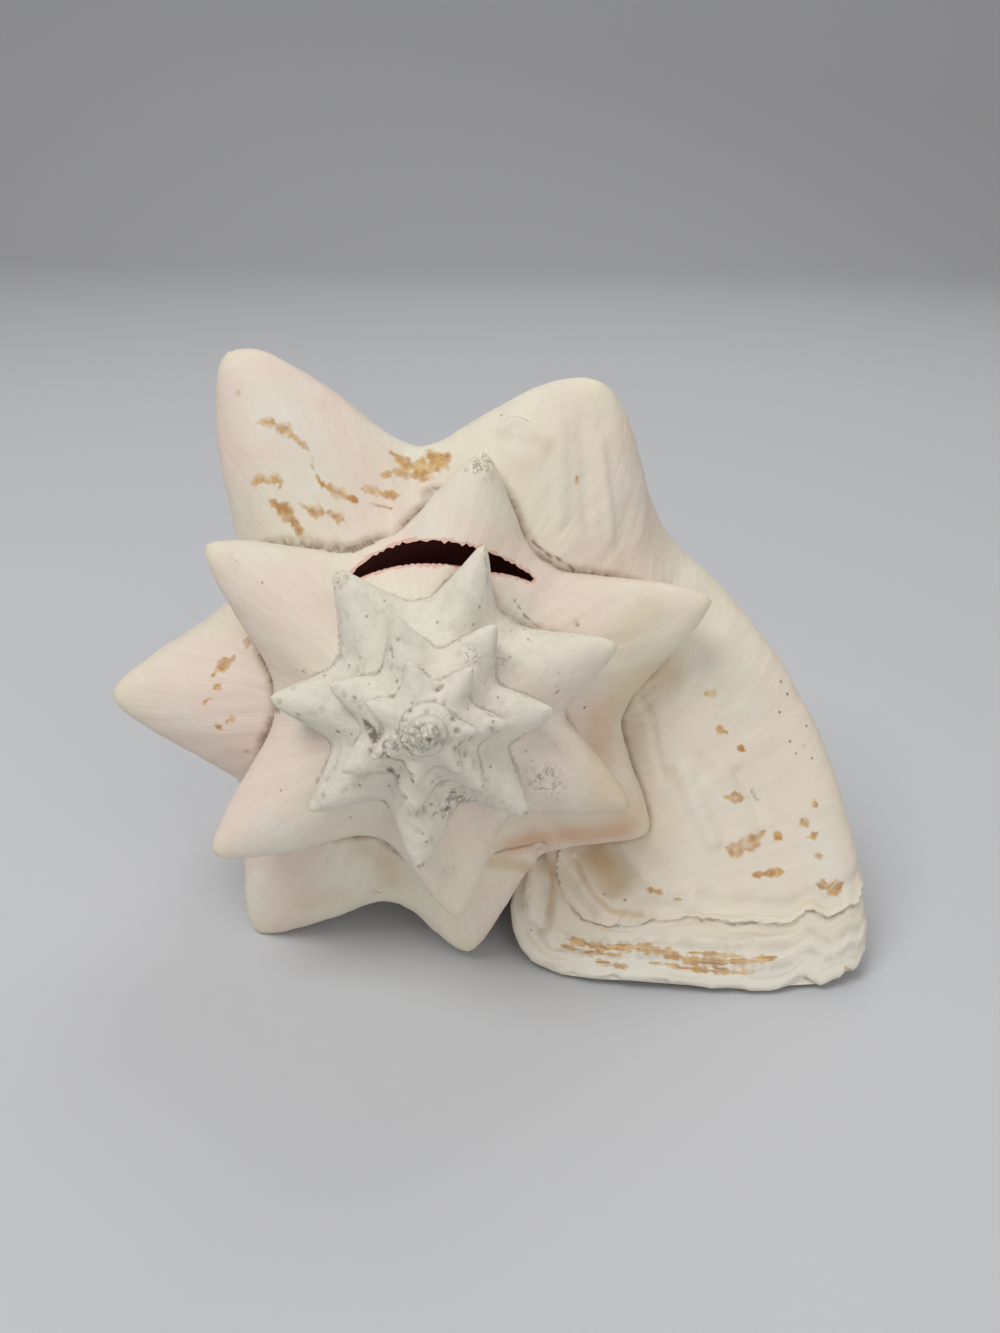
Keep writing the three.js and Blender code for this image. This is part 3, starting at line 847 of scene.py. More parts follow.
# Ochre skin left in streaks: photo pixels that each streak runs through, and its half width in millimetres
stainStreaks = [
    ([(259, 422), (272, 422), (287, 431), (299, 441), (308, 450)], 0.75),
    ([(312, 459), (314, 472), (322, 484), (333, 488)], 0.35),
    ([(251, 482), (283, 480), (280, 489)], 0.6),
    ([(271, 501), (283, 510), (293, 520), (300, 532)], 1.15),
    ([(302, 506), (314, 512), (329, 513), (344, 521)], 0.85),
    ([(327, 488), (337, 493), (348, 497), (357, 501)], 0.8),
    ([(362, 488), (373, 490), (387, 495), (398, 496)], 0.9),
    ([(371, 503), (392, 509)], 0.35),
    ([(383, 475), (394, 472), (406, 474), (428, 478)], 1.1),
    ([(404, 464), (428, 470), (446, 459)], 2.3),
    ([(390, 452), (396, 456), (403, 463)], 0.9),
    ([(430, 444), (429, 452), (434, 460)], 0.7),
    ([(248, 637), (246, 648)], 0.7),
    ([(218, 668), (226, 662), (234, 657)], 1.2),
    ([(212, 676), (216, 672)], 0.5),
    ([(214, 689), (222, 683)], 0.7),
    ([(203, 704), (209, 698)], 0.5),
    ([(226, 722), (235, 718)], 0.65),
    ([(216, 729), (221, 725)], 0.6),
    ([(246, 750), (248, 754)], 0.5),
    ([(706, 694), (718, 693)], 0.7),
    ([(716, 728), (727, 733)], 0.8),
    ([(738, 747), (745, 751)], 0.8),
    ([(724, 797), (742, 798)], 0.9),
    ([(725, 848), (738, 850), (750, 846), (758, 838), (764, 831)], 1.3),
    ([(740, 842), (760, 840)], 0.9),
    ([(775, 834), (781, 838)], 0.7),
    ([(754, 875), (784, 872)], 0.8),
    ([(648, 889), (662, 893)], 0.7),
    ([(673, 899), (681, 899)], 0.4),
    ([(813, 799), (816, 806)], 0.7),
    ([(800, 819), (808, 826)], 0.7),
    ([(812, 833), (815, 838)], 0.7),
    ([(818, 853), (821, 859)], 0.6),
    ([(818, 884), (830, 888), (842, 883)], 1.2),
    ([(822, 880), (836, 894)], 0.9),
    ([(566, 939), (603, 948), (642, 947), (670, 954), (692, 961), (748, 961), (776, 958)], 0.9),
    ([(560, 945), (590, 953), (628, 957)], 0.45),
    ([(596, 961), (612, 965), (628, 967)], 0.55),
    ([(650, 963), (700, 970), (756, 973)], 0.5),
    ([(690, 953), (722, 955), (742, 957)], 0.5),
    ([(845, 968), (851, 970)], 0.6),
    ([(577, 476), (576, 486)], 0.6),
    ([(237, 390), (239, 393)], 0.6),
]

# Peach glow where the last whorl leaves the mouth side: photo pixels, half width in millimetres, strength
peachPatches = [
    ([(506, 848), (530, 840), (560, 835), (600, 834), (625, 829)], 4.4, 0.75),
    ([(520, 470), (545, 450)], 5.0, 0.35),
]

# Painted shade, tan in the channel beside the lip up to a strength of 0.6 and brown in the fold beyond that:
# photo pixels, half width in millimetres, strength
tanShadeStrokes = [
    ([(660, 668), (630, 690), (604, 720), (598, 760), (610, 790), (634, 812)], 8.0, 0.34),
    ([(594, 854), (604, 866), (614, 880)], 4.2, 0.64),
    ([(486, 862), (515, 864), (545, 870)], 2.2, 0.45),
    ([(543, 852), (551, 874), (549, 900), (545, 922)], 0.9, 0.4),
    ([(575, 860), (593, 893), (611, 911), (640, 915)], 0.9, 0.4),
    ([(366, 850), (380, 850), (392, 880)], 5.0, 0.3),
    ([(300, 905), (340, 893)], 4.0, 0.2),
    ([(620, 640), (650, 610)], 6.0, 0.25),
]

# Crusty worn places: photo pixel, reach in millimetres, strength
scarSpots = [
    ((402, 742), 5.5, 0.8), ((380, 738), 4.0, 0.8), ((455, 800), 5.5, 1.3), ((545, 782), 6.0, 0.8),
    ((482, 463), 6.5, 0.7), ((470, 655), 3.5, 0.7), ((345, 575), 3.2, 0.6), ((498, 655), 5.0, 0.5),
    ((425, 738), 6.0, 0.7), ((360, 668), 2.5, 0.6), ((378, 893), 2.5, 0.7),
    ((452, 870), 3.0, 0.4), ((425, 865), 2.2, 0.6), ((320, 705), 2.2, 0.5), ((236, 562), 3.0, 0.4),
]

# Brown dirt caught between the old whorls: photo pixel, reach in millimetres, strength
grimeSpots = [
    ((368, 724), 2.2, 1.0), ((374, 736), 2.4, 1.0), ((383, 757), 2.4, 0.9), ((392, 772), 2.6, 0.9),
    ((410, 778), 2.4, 0.8), ((394, 745), 2.0, 0.8), ((424, 738), 2.4, 0.7), ((458, 765), 2.0, 0.6),
    ((471, 759), 1.6, 0.6), ((487, 778), 1.6, 0.5), ((446, 812), 2.6, 0.8), ((458, 797), 3.0, 0.6),
    ((436, 816), 2.0, 0.6), ((543, 780), 3.0, 0.4), ((533, 757), 2.4, 0.4), ((495, 828), 1.6, 0.7),
    ((420, 866), 1.8, 0.7), ((339, 731), 1.8, 0.5), ((350, 667), 1.6, 0.5), ((385, 747), 2.4, 0.7),
    ((440, 780), 2.4, 0.5), ((402, 722), 2.0, 0.5), ((430, 640), 3.0, 0.35),
]

# Folds and ledges of the lip: half width and height in millimetres, photo pixels each runs through
sculptStrokes = [
    (3.2, 0.9, [(681, 769), (694, 800), (712, 841)]),
    (2.8, -0.7, [(745, 772), (762, 796), (784, 824)]),
    (2.4, 0.5, [(716, 760), (736, 800), (752, 826)]),
    (4.2, 2.2, [(556, 850), (572, 868), (590, 892), (606, 910)]),
    (7.0, -2.0, [(592, 846), (604, 860), (616, 874)]),
    (2.6, -1.6, [(540, 848), (549, 870), (548, 900), (543, 926)]),
    (3.0, 1.1, [(530, 860), (533, 882), (528, 910)]),
    (1.6, -1.0, [(575, 860), (593, 893), (611, 911), (640, 915)]),
    (0.9, -0.35, [(628, 716), (640, 712), (652, 700)]),
    (0.9, -0.35, [(630, 702), (642, 696), (652, 688)]),
    (0.9, -0.3, [(636, 692), (648, 686), (660, 684)]),
    (0.9, -0.35, [(626, 728), (636, 726), (648, 718)]),
    (3.0, 1.0, [(622, 846), (640, 872), (662, 894), (690, 902)]),
    (1.2, -0.45, [(700, 938), (740, 940), (790, 934)]),
    (2.0, -0.5, [(640, 700), (652, 720), (656, 750), (664, 780)]),
    (2.6, 0.6, [(560, 420), (562, 470), (560, 520)]),
    (2.2, -0.5, [(582, 420), (586, 470), (588, 530)]),
    (2.0, 0.5, [(600, 440), (606, 490), (610, 540)]),
    (1.2, -0.45, [(390, 862), (392, 900)]),
    (1.2, 0.45, [(376, 850), (378, 892)]),
    (1.2, -0.4, [(362, 846), (362, 884)]),
    (1.2, -0.4, [(346, 848), (342, 880)]),
    (1.4, -0.45, [(330, 846), (322, 868)]),
    (2.2, -0.7, [(738, 772), (748, 790), (760, 812)]),
    (1.8, 0.5, [(744, 770), (756, 788), (768, 808)]),
    (3.4, -0.6, [(700, 760), (712, 790), (726, 826)]),
    (2.2, 0.7, [(500, 430), (512, 418), (530, 424), (548, 440)]),
    (3.0, -0.7, [(512, 440), (530, 446)]),
]

# Thin dark cracks: photo pixels, half width in millimetres, strength
crackLines = [
    ([(533, 541), (545, 553), (562, 560), (574, 571)], 0.45, 0.8),
    ([(513, 598), (525, 616), (540, 628)], 0.3, 0.6),
    ([(485, 556), (489, 572), (487, 588)], 0.3, 0.5),
    ([(492, 560), (494, 580)], 0.3, 0.5),
    ([(497, 432), (506, 420), (518, 417), (530, 424)], 0.3, 0.45),
    ([(752, 790), (758, 800)], 0.4, 0.5),
    ([(489, 855), (505, 850), (525, 846), (545, 844)], 0.6, 0.6),
    ([(336, 572), (338, 573)], 0.5, 0.6),
    ([(303, 671), (304, 673)], 0.5, 0.6),
    ([(353, 698), (355, 698)], 0.5, 0.6),
    ([(577, 623), (578, 625)], 0.6, 0.7),
    ([(391, 655), (393, 657)], 0.5, 0.6),
    ([(559, 691), (557, 693)], 0.5, 0.6),
]

# In millimetres how far a tip's bleaching reaches at turn 0, how deep cracks sink and how far the painted
# brown shade beside the seam reaches; in metres the leap between two points that a stroke doesn't cross and
# the room that is measured beside it; and the waves that a streak's width follows: size, rate and shift
strokeForm = {
    "tipReach": 15.0,
    "crackDepth": 0.35,
    "seamReach": 2.5,
    "leap": 0.008,
    "room": 0.02,
    "swell": [(0.6, 1.1, 1), (0.4, 2.7, 2)],
}


def photoCaster(mesh):
    tree = BVHTree.FromPolygons(
        [v.co for v in mesh.vertices], [tuple(p.vertices) for p in mesh.polygons]
    )
    half = [n / 2 for n in cameraView["photoSize"]]

    def cast(pixel):
        across, down = ((pixel[i] - half[i]) / cameraView["focalPixels"] for i in range(2))
        ray = (viewAhead + across * viewRight - down * viewUp).normalized()
        return tree.ray_cast(eye, ray)[0]

    return cast


def castLine(cast, pixels, step=5.0):
    # a photo line laid on the shell, as points a few pixels apart
    line = []
    for a, b in zip(pixels, pixels[1:]):
        count = max(1, round(math.dist(a, b) / step))
        line += [(a[0] + (b[0] - a[0]) * i / count, a[1] + (b[1] - a[1]) * i / count) for i in range(count)]
    found = [cast(p) for p in line + [pixels[-1]]]
    return np.array([p for p in found if p is not None])


def distanceTo(places, line):
    # from each place to a line of points in millimetres, how far along it as a share, and its length
    best, along = np.full(len(places), 1e9), np.zeros(len(places))
    ends = zip(line[:-1], line[1:]) if len(line) > 1 else [(line[0], line[0] + 1e-6)]
    passed = 0.0
    for a, b in ends:
        d = b - a
        length = np.linalg.norm(d)
        if length > strokeForm["leap"]:
            continue
        t = np.clip(((places - a) @ d) / (d @ d + 1e-12), 0, 1)
        away = np.linalg.norm(places - a - t[:, None] * d, axis=1)
        closer = away < best
        best[closer] = away[closer]
        along[closer] = passed + t[closer] * length
        passed += length
    return best * 1000, along / max(passed, 1e-6), passed * 1000


def nearLine(places, line):
    return np.abs(places - line.mean(0)).max(1) < np.ptp(line, 0).max() + strokeForm["room"]


def lineField(mesh, cast, strokes, plateau, uneven=0.0):
    # the strength of each stroke along it, fading to 0 at its half width times 1 + plateau
    places = vertexPlaces(mesh)
    field = np.zeros(len(places))
    for number, (pixels, width, *strength) in enumerate(strokes):
        line = castLine(cast, pixels)
        if len(line) == 0:
            continue
        near = nearLine(places, line)
        away, along, length = distanceTo(places[near], line)
        if uneven:
            # swells and thins along the streak, and tapers at both ends
            at = along * length
            waves = sum(
                size * np.sin(at * rate + shift * number) for size, rate, shift in strokeForm["swell"]
            )
            taper = 1 - uneven + uneven * np.sqrt(np.clip(np.sin(math.pi * along), 0, 1))
            width = width * (1 + uneven * waves) * taper
        on = np.clip(1 + plateau - away / width, 0, 1) * (strength[0] if strength else 1)
        field[near] = np.maximum(field[near], on)
    return field


def seamPoints(mesh):
    # points where one whorl meets the next, told by the jump of the turn label across an edge
    turn, inside = readField(mesh, "turn"), readField(mesh, "inside")
    a, b = edgeEnds(mesh)
    jump = (np.abs(turn[a] - turn[b]) > 0.5) & (inside[a] < 0.5) & (inside[b] < 0.5)
    return (vertexPlaces(mesh)[a[jump]] + vertexPlaces(mesh)[b[jump]]) / 2


def seamGap(places, seam):
    # distance in millimetres from each place to the nearest seam point
    tree = placeTree(seam)
    return np.array([tree.find(place)[2] for place in places]) * 1000


# Smaller faces where a streak, crack or seam runs, on the lip's rim and, less so, on the old whorls:
# reaches and longest edges in millimetres
fineShape = {
    "reach": 1.0,
    "edge": 0.95,
    "oldEdge": 1.25,
    "rounds": 2,
    "streakShare": 1.3,
    "rim": 27,
    "rimRow": 0.34,
    "oldTurn": -2.2,
}


def refineStrokes(mesh, cast):
    s = fineShape
    wide = [(castLine(cast, pixels), width * s["streakShare"]) for pixels, width in stainStreaks]
    wide += [(castLine(cast, pixels), width) for pixels, width, strength in crackLines]
    spots = [(cast(pixel), reach) for pixel, reach, strength in scarSpots]
    seam = seamPoints(mesh)
    for _ in range(s["rounds"]):
        places = vertexPlaces(mesh)
        turn, gap, row, inside = (readField(mesh, name) for name in ("turn", "gap", "row", "inside"))
        wanted = seamGap(places, seam) < s["reach"]
        wanted |= (gap < s["rim"]) & (row < s["rimRow"]) & (inside < 0.5)
        old = (turn < s["oldTurn"]) & (inside < 0.5) & ~wanted
        for spot, reach in spots:
            if spot is not None:
                wanted |= np.linalg.norm(places - np.array(spot), axis=1) * 1000 < reach
        for line, width in wide:
            if len(line):
                near = nearLine(places, line)
                wanted[near] |= distanceTo(places[near], line)[0] < width + s["reach"]
        old |= wanted
        draft = bmesh.new()
        draft.from_mesh(mesh)
        picked = [
            e for e in draft.edges
            if any(
                e.calc_length() > longest / 1000 and all(where[v.index] for v in e.verts)
                for where, longest in ((wanted, s["edge"]), (old, s["oldEdge"]))
            )
        ]
        bmesh.ops.subdivide_edges(draft, edges=picked, cuts=1, use_grid_fill=True)
        bmesh.ops.triangulate(draft, faces=[f for f in draft.faces if len(f.verts) > 4])
        draft.to_mesh(mesh)
        draft.free()
    mendFaces(mesh, 2)


def cutField(mesh):
    # 1 on the broken sides of the slot
    s = slotShape
    table = np.array(s["stations"][::-1], float)
    local = (vertexPlaces(mesh) * 1000 - np.array(restShape["shift"])) @ np.array(coilTurn)
    angle = np.degrees(np.arctan2(-local[:, 1], local[:, 0]))
    radius = np.hypot(local[:, 0], local[:, 1])
    low = np.interp(angle, table[:, 0], table[:, 1]) - s["sides"][0]
    high = np.interp(angle, table[:, 0], table[:, 2]) + s["sides"][1]
    within = (radius > low) & (radius < high) & (angle > table[0, 0] - 1) & (angle < table[-1, 0] + 1)
    return (within & (local[:, 2] > s["top"]) & (local[:, 2] < s["top"] + s["sides"][2])).astype(float)


def spotField(mesh, cast, spots):
    places = vertexPlaces(mesh)
    field = np.zeros(len(places))
    for pixel, reach, strength in spots:
        spot = cast(pixel)
        if spot is not None:
            away = np.linalg.norm(places - np.array(spot), axis=1) * 1000
            field = np.maximum(field, strength * np.clip(1 - away / reach, 0, 1) ** 0.7)
    return field


def carveStrokes(mesh, cast):
    places, normals = vertexPlaces(mesh), vertexPlaces(mesh, "normal")
    facing = ((np.array(eye) - places) * normals).sum(1) > 0
    shift = np.zeros(len(places))
    for width, height, pixels in sculptStrokes:
        line = castLine(cast, pixels, 3.0)
        if len(line) < 2:
            continue
        near = facing & nearLine(places, line)
        away = distanceTo(places[near], line)[0]
        shift[near] += height * np.clip(1 - (away / width) ** 2, 0, 1) ** 2
    shift -= strokeForm["crackDepth"] * readField(mesh, "crack")
    mesh.vertices.foreach_set("co", (places + normals * shift[:, None] / 1000).ravel())
    mesh.update()


def tipField(mesh):
    places, field = vertexPlaces(mesh), np.zeros(len(mesh.vertices))
    for spine in largeSpines:
        station = np.array([spine[0]])
        if spine[0] > coilShape["lipFrom"]:
            share = (spine[0] - coilShape["lipFrom"]) / (-lipShape["angle"][2] / 360 - coilShape["lipFrom"])
            station = np.array([coilShape["lipFrom"] * (1 - share)])
        tip = toRest(toSpace(spinyPlace(station, np.array([[coilShape["shoulderRow"]]])))[0, 0])
        reach = strokeForm["tipReach"] * float(growth(spine[0]))
        field = np.maximum(field, np.clip(1 - np.linalg.norm(places - tip, axis=1) * 1000 / reach, 0, 1))
    return field


def hollowField(mesh, rounds=3, leastReach=2e-4):
    # how sharply each point lies below its surroundings, for dirt and painted shade in creases
    places = vertexPlaces(mesh)
    a, b = edgeEnds(mesh)
    count = np.bincount(a, minlength=len(places)) + np.bincount(b, minlength=len(places))
    reach = np.linalg.norm(places[a] - places[b], axis=1)
    reach = np.bincount(a, reach, len(places)) + np.bincount(b, reach, len(places))
    reach = reach / np.maximum(count, 1)
    mean = places.copy()
    for _ in range(rounds):
        total = np.zeros_like(mean)
        np.add.at(total, a, mean[b])
        np.add.at(total, b, mean[a])
        mean = 0.5 * mean + 0.5 * total / np.maximum(count, 1)[:, None]
    return ((mean - places) * vertexPlaces(mesh, "normal")).sum(1) / np.maximum(reach, leastReach)


def shade(red, green, blue):
    # sRGB 0 to 255 as the linear colour the shader wants
    parts = (c / 255 for c in (red, green, blue))
    return tuple(((c + 0.055) / 1.055) ** 2.4 if c > 0.04 else c / 12.92 for c in parts) + (1.0,)


shellColours = {
    "cream": shade(233, 226, 206),
    "pink": shade(235, 217, 203),
    "chalk": shade(233, 230, 217),
    "spire": shade(233, 229, 215),
    "spireDark": shade(196, 191, 173),
    "tip": shade(234, 226, 200),
    "ochre": shade(211, 169, 95),
    "ochreDark": shade(183, 130, 60),
    "peach": shade(216, 172, 134),
    "cut": shade(226, 186, 170),
    "crack": shade(92, 80, 64),
    # dirt, and painted shade in creases
    "dirtAndShadeColour": shade(112, 100, 80),
    # tan serves the painted shade in the channel and the faint real lines along the rim
    "tan": shade(212, 188, 152),
    # brown is painted shade in the fold and along the last suture
    "shadeBrown": shade(150, 116, 82),
    "glazePale": shade(240, 212, 192),
    "glaze": shade(238, 178, 154),
    "glazeDeep": shade(212, 132, 116),
    "maroon": shade(236, 156, 150),
}


def shellMaterial():
    c = shellColours
    material = bpy.data.materials.new("chalkyShell")
    material.use_nodes = True
    material.node_tree.nodes.clear()
    pen = NodePen(material.node_tree)
    place = pen.node("ShaderNodeTexCoord")["Object"]
    turn, row, inside, ochre, peach, tan, scar = pen.fields(
        "turn", "row", "inside", "ochre", "peach", "tan", "scar"
    )
    tip, hollow, pits, crack, cut, seam, ledge, grime = pen.fields(
        "tip", "hollow", "pits", "crack", "cut", "seam", "ledge", "grime"
    )
    inner = pen.ramp(inside, 0.35, 0.65)
    outside = pen.minus(1.0, inner)
    blush = pen.times(pen.patches(place, (22.0, 3.0, 0.55), 0.38, 0.62), pen.ramp(turn, -0.3, 0.0, 1.0, 0.5))
    colour = pen.mix(blush, c["cream"], c["pink"])
    chalky = pen.times(pen.patches(place, (60.0, 5.0, 0.6), 0.50, 0.68), 0.6)
    colour = pen.mix(chalky, colour, c["chalk"])
    lineAt = pen.spread(turn, 240.0, row, 8.0, 1.5)
    lineTone = pen.patches(lineAt, (1.0, 3.0, 0.6), 0.3, 0.7, 0.965, 1.02, False)
    colour = pen.mix(1.0, colour, pen.node("ShaderNodeCombineXYZ", [lineTone] * 3)[0], "MULTIPLY")
    # old whorls are grey and blotched
    age = pen.ramp(pen.plus(turn, pen.times(pen.noise(place, 45.0, 3.0), 0.4)), -1.5, -2.1)
    blotch = pen.times(pen.patches(place, (240.0, 6.0, 0.7), 0.42, 0.66), 0.38)
    colour = pen.mix(pen.times(age, 0.85), colour, pen.mix(blotch, c["spire"], c["spireDark"]))
    colour = pen.mix(pen.times(pen.ramp(tip, 0.1, 0.8), 0.7), colour, c["tip"])
    uneven = pen.patches(place, (120.0, 3.0), 0.3, 0.6, 0.45, 0.85)
    colour = pen.mix(pen.times(pen.ramp(peach, 0.0, 1.0), uneven), colour, c["peach"])
    # painted shade: tan in the channel beside the lip, deeper brown in the fold
    patchy = pen.patches(place, (140.0, 4.0, 0.6), 0.3, 0.65, 0.65, 1.0)
    colour = pen.mix(pen.times(pen.ramp(tan, 0.0, 0.6), patchy), colour, c["tan"])
    colour = pen.mix(pen.times(pen.ramp(tan, 0.55, 1.0), 0.8), colour, c["shadeBrown"])
    # the rim is chalky, with faint lines that follow its edge
    rimRow = pen.ramp(row, 0.40, 0.33)
    colour = pen.mix(pen.times(pen.ramp(ledge, 15.0, 5.0), rimRow, 0.75), colour, c["chalk"])
    flow = pen.patches(pen.spread(ledge, 0.9, row, 22.0, 3.1), (1.0, 4.0, 0.6, 0.3), 0.52, 0.68)
    flow = pen.times(flow, pen.times(pen.ramp(ledge, 26.0, 18.0), rimRow), 0.35)
    colour = pen.mix(flow, colour, c["tan"])
    # ochre streaks break up at their edges, and on the rim they are drawn out along it
    broken = pen.waver(place, 170.0, 3.0, 0.6)
    streaky = pen.times(pen.waver(pen.spread(turn, 60.0, row, 60.0, 8.0), 1.0, 3.0), 0.5)
    ragged = pen.plus(pen.waver(place, 420.0, 4.0, 0.7), streaky, broken)
    drawn = pen.times(pen.waver(pen.spread(ledge, 1.5, row, 34.0, 6.2), 1.0, 4.0, 0.65), 1.9)
    ragged = pen.mixNumber(pen.ramp(ledge, 30.0, 20.0), ragged, drawn)
    stain = pen.ramp(pen.plus(ochre, pen.times(ragged, 1.3)), 0.25, 1.25)
    stain = pen.times(stain, pen.ramp(ochre, 0.0, 0.35), 0.92)
    ochreTone = pen.mix(pen.patches(place, (300.0, 3.0, 0.6), 0.40, 0.62), c["ochreDark"], c["ochre"])
    colour = pen.mix(stain, colour, ochreTone)
    # dirt and painted shade in creases, dirt in pits, fine scribbled tracks on worn places, grime and
    # scattered specks
    dirtAndShade = pen.times(pen.ramp(hollow, 0.22, 0.6), pen.patches(place, (210.0, 4.0, 0.6), 0.36, 0.62), 0.6)
    dirtAndShade = pen.calc("MAXIMUM", dirtAndShade, pen.times(pits, 1.1), True)
    tracks = pen.calc("ABSOLUTE", pen.waver(place, 260.0, 2.0, 0.5, 1.6))
    crusty = pen.times(pen.ramp(scar, 0.15, 0.7), pen.ramp(tracks, 0.045, 0.012), 0.6)
    dirtAndShade = pen.calc("MAXIMUM", dirtAndShade, crusty, True)
    caught = pen.plus(grime, pen.times(pen.waver(place, 520.0, 4.0, 0.7), 2.2), pen.times(hollow, 0.4))
    caught = pen.times(pen.ramp(caught, 0.35, 0.85), pen.ramp(grime, 0.02, 0.25), 0.85)
    dirtAndShade = pen.calc("MAXIMUM", dirtAndShade, caught, True)
    specks = pen.node("ShaderNodeTexVoronoi", {"Vector": place, "Scale": 260.0})
    speckle = pen.times(pen.patches(place, (48.0, 3.0, 0.6), 0.58, 0.66), 0.8)
    dots = pen.times(
        pen.ramp(specks["Distance"], 0.14, 0.07), pen.calc("MAXIMUM", speckle, pen.times(age, 0.5))
    )
    colour = pen.mix(pen.times(pen.calc("MAXIMUM", dirtAndShade, dots), outside), colour, c["dirtAndShadeColour"])
    # painted brown shade along both sides of the last suture
    seamShade = pen.times(pen.ramp(seam, 0.0, 0.9), pen.ramp(turn, -1.35, -1.0))
    seamShade = pen.times(seamShade, pen.ramp(broken, -0.2, 0.1, 0.25, 0.6))
    colour = pen.mix(seamShade, colour, c["shadeBrown"])
    # cracks, the closed seam between whorls, and the foot of each terrace
    dark = pen.times(pen.ramp(pen.plus(crack, pen.times(ragged, 0.35)), 0.1, 0.9), 0.85)
    seamDark = pen.ramp(pen.plus(seam, pen.times(ragged, 0.4)), 0.74, 1.05)
    dark = pen.calc("MAXIMUM", dark, pen.times(seamDark, pen.ramp(turn, -2.2, -0.3, 0.32, 0.5)))
    footWhere = pen.times(pen.ramp(row, 0.34, 0.29), pen.ramp(broken, -0.08, 0.05))
    for at, share, soft in terraces:
        off = pen.calc("ABSOLUTE", pen.minus(ledge, at - 0.45))
        foot = pen.times(pen.ramp(off, 0.2 + 0.8 * soft, 0.1), 0.45 * share, footWhere)
        dark = pen.calc("MAXIMUM", dark, foot)
    colour = pen.mix(pen.times(dark, outside), colour, c["crack"])
    # the mouth is glazed, pale at the lip, warm further in and maroon deep in the coil
    glazed = pen.mix(pen.ramp(ledge, 1.0, 13.0), c["cream"], c["glazePale"])
    for start, end, name in ((-0.06, -0.28, "glaze"), (-0.26, -0.50, "glazeDeep"), (-0.50, -0.80, "maroon")):
        glazed = pen.mix(pen.ramp(turn, start, end), glazed, c[name])
    colour = pen.mix(inner, colour, glazed)
    colour = pen.mix(pen.ramp(cut, 0.2, 0.8), colour, c["cut"])
    gloss = pen.times(inner, pen.ramp(turn, -0.03, -0.15))
    roughness = pen.minus(pen.plus(0.62, pen.times(age, 0.18)), pen.times(gloss, 0.38))
    sandy = pen.times(pen.noise(place, 1400.0, 4.0, 0.65), pen.plus(0.35, pen.times(age, 1.1)))
    scratch = pen.noise(pen.spread(turn, 700.0, row, 22.0, 0.4), 1.0, 3.0, 0.6)
    height = pen.plus(sandy, pen.times(scratch, 0.65))
    height = pen.times(height, pen.minus(1.0, pen.times(gloss, 0.8)))
    bump = pen.node("ShaderNodeBump", {"Strength": 0.55, "Distance": 0.00035, "Height": height})
    surface = pen.node("ShaderNodeBsdfPrincipled", {
        "Base Color": colour,
        "Roughness": roughness,
        "Coat Weight": pen.times(gloss, 0.5),
        "Specular IOR Level": 0.38,
        "Normal": bump[0],
    })
    pen.node("ShaderNodeOutputMaterial", {0: surface[0]})
    return material


boxMargin = 0.00005


def dressShell(shell):
    mesh = shell.data
    cast = photoCaster(mesh)
    refineStrokes(mesh, cast)
    seamNear = seamGap(vertexPlaces(mesh), seamPoints(mesh)) / strokeForm["seamReach"]
    fields = {
        "crack": lineField(mesh, cast, crackLines, 0.3),
        "cut": cutField(mesh),
        "seam": np.clip(1 - seamNear, 0, 1),
        "ochre": lineField(mesh, cast, stainStreaks, 0.9, 0.55),
        "peach": lineField(mesh, cast, peachPatches, 0.2),
        # painted shade in the channel beside the lip and in the fold
        "tan": lineField(mesh, cast, tanShadeStrokes, 0.3),
        "scar": spotField(mesh, cast, scarSpots),
        "grime": spotField(mesh, cast, grimeSpots),
        "tip": tipField(mesh),
    }
    for name, values in fields.items():
        setField(mesh, name, values)
    carveStrokes(mesh, cast)
    modifier = shell.modifiers.new("relief", "NODES")
    modifier.node_group = reliefTree(shellMaterial())
    for item in modifier.node_group.interface.items_tree:
        if item.in_out == "INPUT" and item.name in reliefShape:
            modifier[item.identifier] = float(reliefShape[item.name])
    evaluated = shell.evaluated_get(bpy.context.evaluated_depsgraph_get())
    finished = bpy.data.meshes.new_from_object(evaluated)
    shell.modifiers.clear()
    shell.data = finished
    # the relief stays just inside the box of the solid
    low, high = np.array(cadLow) + boxMargin, np.array(cadHigh) - boxMargin
    finished.vertices.foreach_set("co", np.clip(vertexPlaces(finished), low, high).ravel())
    finished.update()
    setField(finished, "hollow", hollowField(finished))
    finished.name = "conchShell"


dressShell(shell)
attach(shell, "root")
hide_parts("conch_shell")
triangles = sum(len(p.vertices) - 2 for p in shell.data.polygons)
print("stage 4: relief and finish laid on,", triangles, "triangles")

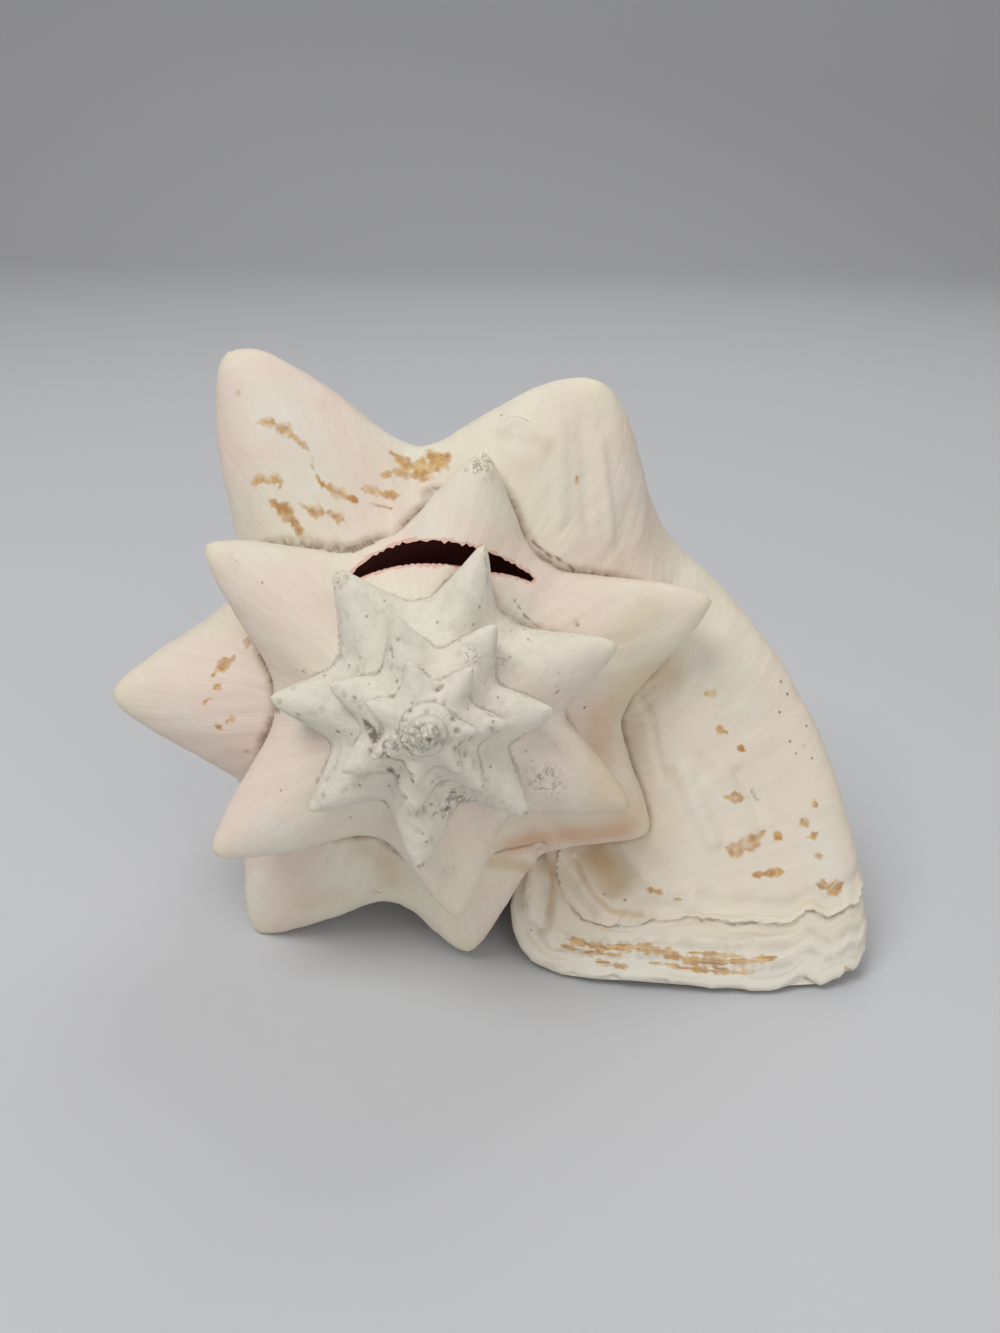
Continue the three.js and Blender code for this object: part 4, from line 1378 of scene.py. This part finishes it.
studioShape = {
    "width": 3.2,
    "front": -1.2,
    "back": 1.3,
    "curve": 0.7,
    "height": 2.2,
    "colour": shade(202, 204, 208),
    "roughness": 0.85,
    "air": (0.84, 0.81, 0.78, 1),
    "airStrength": 0.38,
    "lightsLookAt": (0, 0, 0.05),
}


def makeFloor():
    s = studioShape
    angles = np.linspace(0, math.pi / 2, 25)
    arc = [(s["back"] + s["curve"] * math.sin(a), s["curve"] * (1 - math.cos(a))) for a in angles]
    line = [(s["front"], 0.0)] + arc + [(s["back"] + s["curve"], s["height"])]
    points = [(x, y, z) for y, z in line for x in (-s["width"], s["width"])]
    faces = [(2 * i, 2 * i + 1, 2 * i + 3, 2 * i + 2) for i in range(len(line) - 1)]
    mesh = bpy.data.meshes.new("studioFloor")
    mesh.from_pydata(points, [], faces)
    mesh.polygons.foreach_set("use_smooth", [True] * len(faces))
    material = bpy.data.materials.new("paleFloor")
    material.use_nodes = True
    surface = material.node_tree.nodes["Principled BSDF"]
    surface.inputs["Base Color"].default_value = s["colour"]
    surface.inputs["Roughness"].default_value = s["roughness"]
    mesh.materials.append(material)
    floor = addObject("studioFloor", mesh)


# Lamps: name, place, size, power
lightShape = [
    ("keyLight", (-0.55, -0.40, 1.25), 0.8, 8.6),
    ("fillLight", (0.5, -1.1, 0.7), 1.6, 4.6),
    ("backLight", (0.25, 0.85, 1.1), 0.9, 3.5),
]


def makeLights():
    for name, place, size, power in lightShape:
        data = bpy.data.lights.new(name, "AREA")
        data.shape, data.size, data.energy = "DISK", size, power
        lamp = addObject(name, data)
        lamp.location = place
        ahead = Vector(studioShape["lightsLookAt"]) - Vector(place)
        lamp.rotation_euler = ahead.to_track_quat("-Z", "Y").to_euler()
    world = bpy.data.worlds.new("paleRoom")
    world.use_nodes = True
    air = world.node_tree.nodes["Background"]
    air.inputs[0].default_value, air.inputs[1].default_value = studioShape["air"], studioShape["airStrength"]
    bpy.context.scene.world = world
    bpy.context.scene.view_settings.view_transform = "Standard"


makeFloor()
makeLights()
print("stage 5: floor and lights placed")
